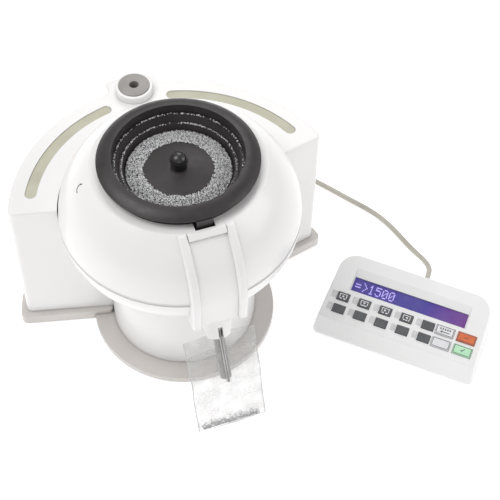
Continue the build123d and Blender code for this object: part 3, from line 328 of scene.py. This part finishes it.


# The crevice colours in this table are painted shade in corners and seams.
MATERIALS = {                                     # by the CAD's material slots
    "base_grey": surface("powder_coat_grey", (0.585, 0.555, 0.53), (0.64, 0.61, 0.585), 0.42,
                         patch=22.0, grain=1500.0, depth=0.05, crevice=(0.2, 0.19, 0.18)),
    "pad_rubber": rubber_black,
    "housing_white": white,
    # Painted shade: the dome's joint ring is grey so that it stands in for the shadow in the gap of the double
    # seam.
    "seam_grey": surface("seam_grey", (0.66, 0.655, 0.65), (0.72, 0.715, 0.71), 0.5,
                         patch=60.0),
    "strip_beige": surface("strip_beige", (0.47, 0.455, 0.355), (0.53, 0.515, 0.41), 0.55,
                           patch=45.0, grain=1800.0, depth=0.04, crevice=(0.16, 0.15, 0.1)),
    "socket_grey": surface("socket_grey", (0.27, 0.255, 0.24), (0.33, 0.31, 0.295), 0.42,
                           patch=60.0, depth=0.03, crevice=(0.08, 0.07, 0.07)),
    "bowl_black": black_cast,
    "knob_black": surface("knob_black", (0.012, 0.012, 0.012), (0.020, 0.019, 0.020), 0.26,
                          patch=60.0, depth=0.004, gloss_spread=0.03, Coat_Weight=0.3,
                          Coat_Roughness=0.15),
    "drive_iron": iron,
    "coil_copper": surface("coil_copper", (0.4, 0.14, 0.06), (0.6, 0.24, 0.1), 0.35,
                           patch=120.0, metallic=1.0),
    "spring_steel": steel,
    "head_aluminium": surface("cast_aluminium", (0.5, 0.5, 0.51), (0.6, 0.6, 0.61), 0.38,
                              metallic=1.0),
    "funnel_plastic": plain_black,
    "sensor_black": plain_black,
    "eye_glass": clear_surface("eye_glass", (0.3, 0.05, 0.05), 0.5, 0.1),
    "tube_steel": steel,
    "rod_chrome": surface("polished_rod", (0.30, 0.29, 0.29), (0.40, 0.39, 0.39), 0.16,
                          patch=120.0, depth=0.003, gloss_spread=0.03, metallic=1.0),
    "fixing_steel": surface("plated_steel", (0.45, 0.45, 0.46), (0.55, 0.55, 0.56), 0.35,
                            metallic=1.0),
    "board_green": green_board,
    "supply_metal": surface("supply_metal", (0.42, 0.42, 0.42), (0.5, 0.5, 0.5), 0.4,
                            metallic=0.8),
    "inlet_black": plain_black,
    "cable_grey": surface("cable_sheath", (0.43, 0.405, 0.35), (0.50, 0.475, 0.42), 0.45,
                          patch=50.0, grain=1600.0, depth=0.03),
    "keypad_white": keypad_white,
    "display_glass": clear_surface("display_pane", (0.6, 0.6, 0.7), 0.03, 0.08),
    "display_violet": display_surface(),
    "key_grey": key_surface("key_grey", (0.085, 0.088, 0.095), (0.108, 0.111, 0.119), 0.5),
    "key_white": key_surface("key_white", (0.70, 0.70, 0.72), (0.76, 0.76, 0.78)),
    "key_orange": key_surface("key_orange", (0.62, 0.135, 0.045), (0.70, 0.17, 0.06)),
    "key_mint": key_surface("key_mint", (0.44, 0.74, 0.49), (0.50, 0.80, 0.55)),
}
GRAINS = grain_surface("pellets", ((0.0, 0.14), (0.25, 0.42), (0.5, 0.85), (1.0, 1.0)))
BAG_GRAINS = grain_surface("bag_pellets", ((0.0, 0.05), (0.3, 0.22), (0.65, 0.62), (1.0, 0.95)))
INK = surface("printed_ink", (0.07, 0.075, 0.085), (0.10, 0.105, 0.115), 0.5, patch=300.0,
              depth=0.004)
ICON_WHITE = surface("printed_white", (0.72, 0.72, 0.74), (0.82, 0.82, 0.84), 0.5, patch=300.0,
                     depth=0.004)
TILE_GREY = surface("label_tile", (0.56, 0.56, 0.57), (0.66, 0.66, 0.67), 0.45, patch=160.0,
                    depth=0.006)
FILM = clear_surface("bag_film", (0.66, 0.65, 0.65), 0.26, 0.2)
FILM_SEAL = clear_surface("bag_seal", (0.70, 0.70, 0.70), 0.42, 0.22)
# Painted highlight: whiter, milkier film for the strips laid along the bag's folds.
FILM_CREASE_HIGHLIGHT = clear_surface("bag_crease_highlight", (0.97, 0.97, 0.97), 0.62, 0.25)
LETTERS = surface("lit_dots", (0.36, 0.30, 0.72), (0.44, 0.38, 0.80), 0.4, patch=300.0,
                  depth=0.002, Emission_Color=(0.50, 0.42, 0.85, 1), Emission_Strength=0.7)

for name, node in nodes.items():
    if slot_of[name] in MATERIALS:
        for socket in node.material_slots:
            socket.material = MATERIALS[slot_of[name]]
cable.data.materials.append(MATERIALS["cable_grey"])


# ---------------------------------------------------------------- mesh pieces
def piece(name, points, faces, material, body, smooth=True):
    """A mesh piece from points in metres, riding on a CAD body."""
    mesh = bpy.data.meshes.new(name)
    mesh.from_pydata([tuple(point) for point in points], [], faces)
    mesh.update()
    mesh.materials.append(material)
    mesh.shade_smooth() if smooth else mesh.shade_flat()
    thing = bpy.data.objects.new(name, mesh)
    bpy.context.scene.collection.objects.link(thing)
    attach(thing, body)
    return thing


# ---------------------------------------------------------------- pellets
GOLDEN = (1 + sqrt(5)) / 2
GRAIN_CORNERS = np.array([
    (-1, GOLDEN, 0), (1, GOLDEN, 0), (-1, -GOLDEN, 0), (1, -GOLDEN, 0),
    (0, -1, GOLDEN), (0, 1, GOLDEN), (0, -1, -GOLDEN), (0, 1, -GOLDEN),
    (GOLDEN, 0, -1), (GOLDEN, 0, 1), (-GOLDEN, 0, -1), (-GOLDEN, 0, 1),
]) / sqrt(1 + GOLDEN ** 2)
GRAIN_FACES = np.array([
    (0, 11, 5), (0, 5, 1), (0, 1, 7), (0, 7, 10), (0, 10, 11), (1, 5, 9), (5, 11, 4), (11, 10, 2),
    (10, 7, 6), (7, 1, 8), (3, 9, 4), (3, 4, 2), (3, 2, 6), (3, 6, 8), (3, 8, 9), (4, 9, 5),
    (2, 4, 11), (6, 2, 10), (8, 6, 7), (9, 8, 1),
])
GRAIN_RADIUS, BAG_GRAIN_RADIUS = 0.43 * MM, 0.42 * MM


def grains(name, places, material, body, seed, size):
    """Loose pellets at the given places, each with its own shape and turn."""
    chance = np.random.default_rng(seed)
    points, faces = [], []
    for number, place in enumerate(places):
        axes = np.linalg.qr(chance.normal(size=(3, 3)))[0]
        stretch = chance.uniform(0.72, 1.18, 3) * size
        points.append((GRAIN_CORNERS * stretch) @ axes + np.array(place))
        faces.append(GRAIN_FACES + len(GRAIN_CORNERS) * number)
    piece(name, np.concatenate(points), np.concatenate(faces).tolist(), material, body,
          smooth=False)


# the bowl's inside, as in the CAD source, in millimetres
FLOOR_RADIUS, FLOOR_HEIGHT = 40.6, 177.5
CONE_RADIUS, CONE_HEIGHT = 8.0, 184.0
TRACKS = (                                        # inner and outer radius, height, how full
    (42.6, 43.9, 183.8, 1.0),
    (47.4, 48.7, 189.4, 0.8),
)
HOLES = ((1.2, -42.4, 4.6), (0.2, -38.5, 2.9))    # x, y and radius
RING_INNER, RING_OUTER = 25.6, 39.9               # the pellets' ring on the floor
RING_TRIES, TRACK_TRIES = 11500, 620              # places tried on the floor and on each track


def floor_height(radius):
    """Height of the bowl's coned floor at a radius."""
    share = (radius - CONE_RADIUS) / (FLOOR_RADIUS - CONE_RADIUS)
    return CONE_HEIGHT + (FLOOR_HEIGHT - CONE_HEIGHT) * share


def over_hole(x, y, margin=0.1):
    """Whether a pellet at this place would lie over one of the bowl's holes."""
    return any((x - hole_x) ** 2 + (y - hole_y) ** 2 < (radius + margin) ** 2
               for hole_x, hole_y, radius in HOLES)


def bowl_pellets():
    """Ring of pellets on the bowl's floor, and the few that climb its two tracks."""
    chance = np.random.default_rng(3)
    places = []
    for _ in range(RING_TRIES):
        angle = chance.uniform(0, 2 * pi)
        radius = sqrt(chance.uniform(RING_INNER ** 2, RING_OUTER ** 2))
        edge = RING_INNER + 1.3 + 1.1 * noise.noise((3 * cos(angle), 3 * sin(angle), 0.3))
        edge += chance.normal(0, 0.5)
        x, y = radius * cos(angle), radius * sin(angle)
        if radius < edge or over_hole(x, y):
            continue
        pile = 1.9 * (1 - exp(-(radius - edge) / 4.5))
        height = floor_height(radius) + 0.35 + chance.uniform(0, max(pile, 0.05))
        places.append((x * MM, y * MM, height * MM))
    for inner, outer, height, fullness in TRACKS:
        for _ in range(TRACK_TRIES):
            angle = chance.uniform(0, 2 * pi)
            facing_front = max(0.0, -sin(angle + radians(8)))
            facing_left = max(0.0, -cos(angle))
            wanted = fullness * (1 - 1.25 * facing_front) * (1.0 + 0.5 * facing_left)
            clump = 0.8 + 0.9 * noise.noise((6 * cos(angle), 6 * sin(angle), height))
            radius = chance.uniform(inner, outer)
            x, y = radius * cos(angle), radius * sin(angle)
            if chance.uniform() > wanted * clump or over_hole(x, y):
                continue
            places.append((x * MM, y * MM, (height + 0.5) * MM))
    grains("bowl_pellets", places, GRAINS, "bowl", 5, GRAIN_RADIUS)


bowl_pellets()

# ---------------------------------------------------------------- zip bag
BAG_WIDTH = 57.0                                  # millimetres, as all of the bag's sizes
OUTLET = Vector((0, -92.1, 89.5))
OUTLET_UP = Vector((0, 0.5, cos(TUBE_LEAN)))
BAG_STATIONS = (                                  # the bag's middle, and half its thickness there
    (OUTLET - OUTLET_UP * 1.2, 5.05),
    (OUTLET - OUTLET_UP * 20, 5.05),
    (OUTLET - OUTLET_UP * 38.5, 4.9),
    (Vector((0.0, -118.6, 31.6)), 2.9),
    (Vector((0.8, -125.3, 8.8)), 1.3),
)
BAG_LENGTH = 87.0
BAG_ACROSS, BAG_DOWN = 64, 100                    # faces across and down each side
ZIP_DOWN = 14.0 / BAG_LENGTH
ZIP_PITCH = 1.7 / BAG_LENGTH
ZIP_HALF_WIDTH = 0.32 / BAG_LENGTH
SEAL = 1.1                                        # width of the welded edges


def bag_middle(down):
    """Point on the bag's middle line at a share of its length, the way down, half thickness."""
    ends = [0.0]
    for (first, _), (second, _) in zip(BAG_STATIONS, BAG_STATIONS[1:]):
        ends.append(ends[-1] + (second - first).length)
    place = down * ends[-1]
    last = len(ends) - 2
    index = min(last, max(i for i, end in enumerate(ends) if end <= place))
    share = (place - ends[index]) / (ends[index + 1] - ends[index])
    before = BAG_STATIONS[max(index - 1, 0)][0]
    start, thickness = BAG_STATIONS[index]
    end, next_thickness = BAG_STATIONS[index + 1]
    after = BAG_STATIONS[min(index + 2, len(ends) - 1)][0]
    leave, arrive = (end - before) / 2, (after - start) / 2
    if index == 0:
        leave = end - start
    if index == last:
        arrive = end - start
    square, cube = share ** 2, share ** 3
    ease = 3 * square - 2 * cube
    point = start * (2 * cube - 3 * square + 1) + leave * (cube - 2 * square + share)
    point += end * ease + arrive * (cube - square)
    onward = after - end if index < last else end - start
    heading = (end - start).lerp(onward, share * 0.5).normalized()
    return point, heading, thickness + (next_thickness - thickness) * ease


def up_to_one(value):
    """A value held between nought and one."""
    return max(0.0, min(1.0, value))


def crescent_line(across):
    """Where the crescent fold under the tube lies, as a share of the bag's length."""
    return 0.63 - 0.17 * (across + 1) ** 1.5


FOLDS = (                                         # lean, middle, width and height of each fold
    (0.9, 0.30, 0.05, 0.7), (-0.7, 0.15, 0.06, 0.6), (0.35, -0.25, 0.05, 0.45),
    (1.4, 0.62, 0.06, 0.5), (-1.2, -0.55, 0.06, 0.45),
)


def bag_fold(across, down):
    """Height of the film's folds: a crescent under the tube, and faint ones that fan out."""
    crescent = 1.1 * exp(-((down - crescent_line(across)) / 0.017) ** 2)
    crescent *= up_to_one(3 * (0.05 - across))
    folds = 0.0
    for lean, middle, width, height in FOLDS:
        offset = across - middle - lean * (down - 0.68)
        folds += height * exp(-(offset / width) ** 2) * up_to_one(6 * (down - 0.42))
    return crescent + folds


CREASE_HIGHLIGHTS = (                                       # painted highlight strips along the folds: across from and to, line down the bag, width
    (-0.97, -0.02, crescent_line, 2.6),
    (0.22, 0.93, lambda across: 0.40 + 0.10 * across, 1.6),
    (0.30, 0.80, lambda across: 0.86 - 0.40 * across, 1.3),
    (0.42, 0.90, lambda across: 0.50 + 0.22 * across, 1.5),
)
CREASE_STEPS = 24


def bag_point(side, across, down, lift=0.0):
    """Point on the front (-1) or back (1) film, in metres.

    across runs from -1 to 1, down from 0 at the mouth to 1, and lift raises a trim off the film.
    """
    middle, heading, thickness = bag_middle(down)
    out = Vector((1, 0, 0)).cross(heading)
    if out.y > 0:
        out = -out
    belly = max(0.0, 1 - abs(across) ** 1.7)
    ripple = noise.noise((across * 2.2, down * 5, 4.0 + side)) * 1.1
    ripple += noise.noise((across * 5, down * 11, 9.0 + side)) * 0.5
    near_tube = exp(-(across / 0.28) ** 2) * up_to_one(8 * (0.47 - down))
    fade = min(1.0, 6 * (1 - abs(across))) * (1 - near_tube) * (1 - down ** 8)
    rise = thickness * belly + (ripple + bag_fold(across, down)) * fade
    edge_wave = 0.45 * noise.noise((0.7 * across, down * 6, 1.5))
    half = BAG_WIDTH / 2 * (1 - 0.012 * sin(pi * down)) + edge_wave
    sway = 0.8 * sin(pi * down * 1.1)
    point = middle + Vector((across * half, 0, 0)) + out * (-side * max(rise, 0.12) - side * lift)
    return (point + out * sway * across * 0.8) * MM


def strip_faces(length, lanes):
    """Faces of a strip of points that lie in rows of one more than its lanes."""
    row = lanes + 1
    return [(row * i + k, row * i + row + k, row * i + row + 1 + k, row * i + 1 + k)
            for i in range(length) for k in range(lanes)]


def make_bag():
    """The bag's film, one sheet folded at the foot, with its welded sides, its zip and whiter strips that paint
    the highlights along its folds.
    """
    columns = [-1 + 2 * i / BAG_ACROSS for i in range(BAG_ACROSS + 1)]
    rows = [j / BAG_DOWN for j in range(BAG_DOWN + 1)]
    path = [(-1, down) for down in rows] + [(1, down) for down in reversed(rows)]
    points = [bag_point(side, across, down) for side, down in path for across in columns]
    width = len(columns)
    faces = [
        (r * width + c, r * width + c + 1, (r + 1) * width + c + 1, (r + 1) * width + c)
        for r in range(len(path) - 1) for c in range(BAG_ACROSS)
    ]
    film = piece("bag_film", points, faces, FILM, "root")
    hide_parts("zip_bag")
    for side, label in ((-1, "front"), (1, "back")):
        for number, down in enumerate((ZIP_DOWN, ZIP_DOWN + ZIP_PITCH)):
            ridge = ((down - ZIP_HALF_WIDTH, 0.02), (down, 0.3), (down + ZIP_HALF_WIDTH, 0.02))
            strip = [bag_point(side, across, row, lift)
                     for across in columns for row, lift in ridge]
            piece(f"bag_zip_{label}_{number + 1}", strip,
                               strip_faces(BAG_ACROSS, 2), FILM_SEAL, "root")
    # Painted highlights: a whiter strip of film along each fold.
    for number, (start, end, line, width) in enumerate(CREASE_HIGHLIGHTS):
        strip = []
        for step in range(CREASE_STEPS + 1):
            share = step / CREASE_STEPS
            across = start + (end - start) * share
            half = width / 2 * sin(pi * (0.06 + 0.88 * share)) / BAG_LENGTH
            strip += [bag_point(-1, across, line(across) + row * half, lift)
                      for row, lift in ((-1, 0.04), (0, 0.16), (1, 0.04))]
        piece(f"bag_crease_highlight_{number + 1}", strip, strip_faces(CREASE_STEPS, 2),
                           FILM_CREASE_HIGHLIGHT, "root")
    weld = SEAL / (BAG_WIDTH / 2)
    for side, label in ((-1, "left"), (1, "right")):
        strip = [bag_point(face, side * (1 - share * weld), down, 0.05)
                 for down in rows for face, share in ((-1, 1), (-1, 0), (1, 0), (1, 1))]
        piece(f"bag_weld_{label}", strip, strip_faces(BAG_DOWN, 3), FILM_SEAL,
                           "root")


BAG_TRIES = 900                                   # places tried for pellets in the bag


def bag_pellets():
    """Pellets heaped along the foot of the bag."""
    chance = np.random.default_rng(8)
    places = []
    for _ in range(BAG_TRIES):
        across = chance.uniform(-0.95, 0.95)
        depth = abs(chance.normal(0, 3.0)) * (1.0 + 0.25 * noise.noise((across * 3, 0, 0)))
        down = 1 - (0.9 + min(depth, 8.5)) / BAG_LENGTH
        front, back = bag_point(-1, across, down), bag_point(1, across, down)
        if (front - back).length > 0.7 * MM:
            share = chance.uniform(0.3, 0.7)
            places.append(front.lerp(back, share))
    grains("bag_pellets", places, BAG_GRAINS, "root", 12, BAG_GRAIN_RADIUS)


make_bag()
bag_pellets()


# ---------------------------------------------------------------- keypad print and display
def face_point(origin, across, back, up):
    """Point at a distance from an origin along the keypad's sloping face, in metres."""
    return origin + (FACE_ACROSS * across + FACE_BACK * back + FACE_UP * up) * MM


def top_of(node):
    """Middle of the top face of a key."""
    points = [vertex.co for vertex in nodes[node].data.vertices]
    level = max(point.dot(FACE_UP) for point in points)
    top = [point for point in points if point.dot(FACE_UP) > level - 0.3 * MM]
    across = [point.dot(FACE_ACROSS) for point in top]
    back = [point.dot(FACE_BACK) for point in top]
    middle = FACE_ACROSS * (min(across) + max(across)) / 2
    middle += FACE_BACK * (min(back) + max(back)) / 2
    return middle + FACE_UP * level


def plates(name, origin, outlines, material, body, height=0.12, sink=0.1):
    """Thin raised print on the face: each outline is a list of (across, back) in millimetres."""
    points, faces = [], []
    for outline in outlines:
        start, count = len(points), len(outline)
        for up in (-sink, height):
            points += [face_point(origin, across, back, up) for across, back in outline]
        faces.append(tuple(range(start + count, start + 2 * count)))
        for i in range(count):
            j = (i + 1) % count
            faces.append((start + i, start + j, start + count + j, start + count + i))
    piece(name, points, faces, material, body, smooth=False)


def rounded(across, back, width, depth, radius, steps=5):
    """Outline of a rectangle with rounded corners about a middle."""
    outline = []
    for corner, (sx, sy) in enumerate(((1, 1), (-1, 1), (-1, -1), (1, -1))):
        for step in range(steps + 1):
            angle = radians(90 * corner + 90 * step / steps)
            outline.append((across + sx * (width / 2 - radius) + radius * cos(angle),
                            back + sy * (depth / 2 - radius) + radius * sin(angle)))
    return outline


def bar(across, back, width, depth):
    """Outline of a plain rectangle about a middle."""
    return [(across - width / 2, back - depth / 2), (across + width / 2, back - depth / 2),
            (across + width / 2, back + depth / 2), (across - width / 2, back + depth / 2)]


KEY_SIZE, WIDE_KEY = (10.2, 7.2), (15.4, 8.4)     # width and depth, in millimetres
KEY_PROUD = 1.1                                   # how far a key stands out of the face
TILE = 5.2                                        # room for a label tile left of each key
PRINT = 0.05                                      # how far print stands out of a key


def frame_outline(width, depth, line, radius):
    """Outlines of the short bars that run round a key's edge."""
    outer = rounded(0, 0, width, depth, radius)
    inner = rounded(0, 0, width - 2 * line, depth - 2 * line, max(radius - line, 0.1))
    count = len(outer)
    return [[outer[i], outer[(i + 1) % count], inner[(i + 1) % count], inner[i]]
            for i in range(count)]


def key_print():
    """Icons and outlines on the keys, and the grey label tiles beside them."""
    hood = [bar(0, 2.0, 6.4, 0.55), bar(-2.9, 0.2, 0.6, 3.0), bar(2.9, 0.2, 0.6, 3.0)]
    two_feet = [bar(-1.6, -2.0, 2.0, 0.9), bar(1.6, -2.0, 2.0, 0.9)]
    three_feet = [bar(-1.8, -2.0, 1.4, 0.9), bar(0.4, -2.0, 1.4, 0.9), bar(2.3, -2.0, 1.0, 0.9)]
    icons = (
        [*hood, *two_feet, [(-1.2, -0.6), (1.2, -0.6), (0, 1.1)]],
        [*hood, bar(0, -2.0, 5.2, 0.8), [(-1.2, 1.0), (0, -0.9), (1.2, 1.0)]],
        [*hood, *two_feet, [(-1.1, -0.9), (1.1, 0.1), (-1.1, 1.1)]],
        [*hood, *three_feet, [(1.1, -0.9), (1.1, 1.1), (-1.1, 0.1)]],
    )
    for column, shapes in enumerate(icons):
        key = f"key_1_{column + 1}"
        plates(f"icon_{column + 1}", top_of(key), shapes, ICON_WHITE, key, PRINT)
    border = frame_outline(WIDE_KEY[0] - 0.9, WIDE_KEY[1] - 0.9, 0.5, 0.9)
    for key in ("key_1_6", "key_2_6", "key_1_7", "key_2_7"):
        plates(f"outline_{key}", top_of(key), border, INK, key, PRINT)
    arrow = [(-4.2, -1.3), (-2.2, -0.3), (-2.2, -0.95), (4.2, -0.95), (4.2, -1.65),
             (-2.2, -1.65), (-2.2, -2.3)]
    dots = [bar(-4.0 + 2.0 * i, 1.3, 1.1, 1.5) for i in range(5)]
    plates("arrow_icon", top_of("key_1_6"), [arrow, *dots], INK, "key_1_6", PRINT)
    tick = [(-1.6, 0.2), (-0.5, -1.3), (2.0, 1.5), (1.4, 2.0), (-0.5, -0.2), (-1.1, 0.7)]
    plates("tick_icon", top_of("key_2_7"), [tick], INK, "key_2_7", PRINT)
    dash = [(-1.8, 0.3), (-1.8, -0.3), (1.8, -0.3), (1.8, 0.3)]
    plates("bar_icon", top_of("key_1_7"), [dash], INK, "key_1_7", PRINT)
    beside = -KEY_SIZE[0] / 2 - TILE / 2 - 0.5
    tile = rounded(beside, 0.4, TILE - 0.9, KEY_SIZE[1] - 1.0, 0.5)
    for row in (1, 2):
        for column in range(1, 6):
            origin = top_of(f"key_{row}_{column}") - FACE_UP * (KEY_PROUD * MM)
            plates(f"tile_{row}_{column}", origin, [tile], TILE_GREY, "root",
                   0.08)


key_print()

DIGITS = {                                        # five by seven dot-matrix shapes, top row first
    "=": ("     ", "     ", "#####", "     ", "#####", "     ", "     "),
    ">": (" #   ", "  #  ", "   # ", "    #", "   # ", "  #  ", " #   "),
    "1": ("  #  ", " ##  ", "  #  ", "  #  ", "  #  ", "  #  ", " ### "),
    "5": ("#####", "#    ", "#### ", "    #", "    #", "#   #", " ### "),
    "0": (" ### ", "#   #", "#  ##", "# # #", "##  #", "#   #", " ### "),
}
READING = "=>1500"
READING_LEFT = -48.2                              # from the display's middle, in millimetres
CHARACTER_PITCH = 6.0
DOT_ACROSS, DOT_UP = 0.98, 1.22                   # pitch of the dots
DOT_SHARE = 0.8                                   # share of the pitch that a dot fills


def display_reading():
    """Lit dots behind the display's pane."""
    low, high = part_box("display_module")
    middle = (low + high) / 2
    level = max(vertex.co.dot(FACE_UP) for vertex in nodes["display_module"].data.vertices)
    origin = middle + FACE_UP * (level - middle.dot(FACE_UP))
    glass_low, glass_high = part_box("display_glass")
    glass = (glass_low + glass_high) / 2
    origin += FACE_BACK * (glass - origin).dot(FACE_BACK)
    origin += FACE_ACROSS * (glass - origin).dot(FACE_ACROSS)
    dots = []
    for place, character in enumerate(READING):
        left = READING_LEFT + place * CHARACTER_PITCH
        for row, line in enumerate(DIGITS[character]):
            for column, mark in enumerate(line):
                if mark == "#":
                    dots.append(bar(left + column * DOT_ACROSS + DOT_ACROSS / 2,
                                    (3 - row) * DOT_UP, DOT_ACROSS * DOT_SHARE,
                                    DOT_UP * DOT_SHARE))
    plates("display_reading", origin, dots, LETTERS, "root", 0.05, 0.02)


display_reading()


# ---------------------------------------------------------------- stage and light
def make_stage():
    """Plain white floor."""
    side = 6.0
    corners = [(-side, -side, 0), (side, -side, 0), (side, side, 0), (-side, side, 0)]
    mesh = bpy.data.meshes.new("floor")
    mesh.from_pydata(corners, [], [(0, 1, 2, 3)])
    material, tree_nodes, links, principled = shader("floor")
    coords = tree_nodes.new("ShaderNodeTexCoord")
    paper = noise_node(tree_nodes, links, coords, 3.0, 2.0)
    links.new(mixed(tree_nodes, links, paper, (0.93, 0.93, 0.93), (0.95, 0.95, 0.95)),
              principled.inputs["Base Color"])
    principled.inputs["Roughness"].default_value = 0.9
    principled.inputs["Specular IOR Level"].default_value = 0.05
    principled.inputs["Emission Color"].default_value = (1, 1, 1, 1)
    principled.inputs["Emission Strength"].default_value = 0.46
    mesh.materials.append(material)
    floor = bpy.data.objects.new("floor", mesh)
    bpy.context.scene.collection.objects.link(floor)


def area_light(name, place, aim, size, power):
    """Soft square light of a size in metres and a power in watts, aimed at a point."""
    data = bpy.data.lights.new(name, "AREA")
    data.size = size
    data.energy = power
    light = bpy.data.objects.new(name, data)
    light.location = place
    light.rotation_mode = "QUATERNION"
    light.rotation_quaternion = (Vector(aim) - Vector(place)).to_track_quat("-Z", "Y")
    bpy.context.scene.collection.objects.link(light)


make_stage()
area_light("key_light", (-0.75, 0.15, 1.45), (0, 0, 0.1), 1.0, 11.0)
area_light("front_light", (-0.25, -1.5, 1.0), (0, 0, 0.08), 0.9, 1.2)
area_light("back_light", (0.5, 1.1, 1.3), (0, 0, 0.12), 0.9, 5.5)
area_light("right_light", (1.3, -0.5, 0.9), (0.05, 0, 0.1), 0.9, 5.0)

world = bpy.data.worlds.new("studio")
world.use_nodes = True
sky = world.node_tree.nodes["Background"]
sky.inputs["Color"].default_value = (1, 1, 1, 1)
sky.inputs["Strength"].default_value = 0.52
bpy.context.scene.world = world
bpy.context.scene.view_settings.view_transform = "Standard"

bpy.context.view_layer.update()
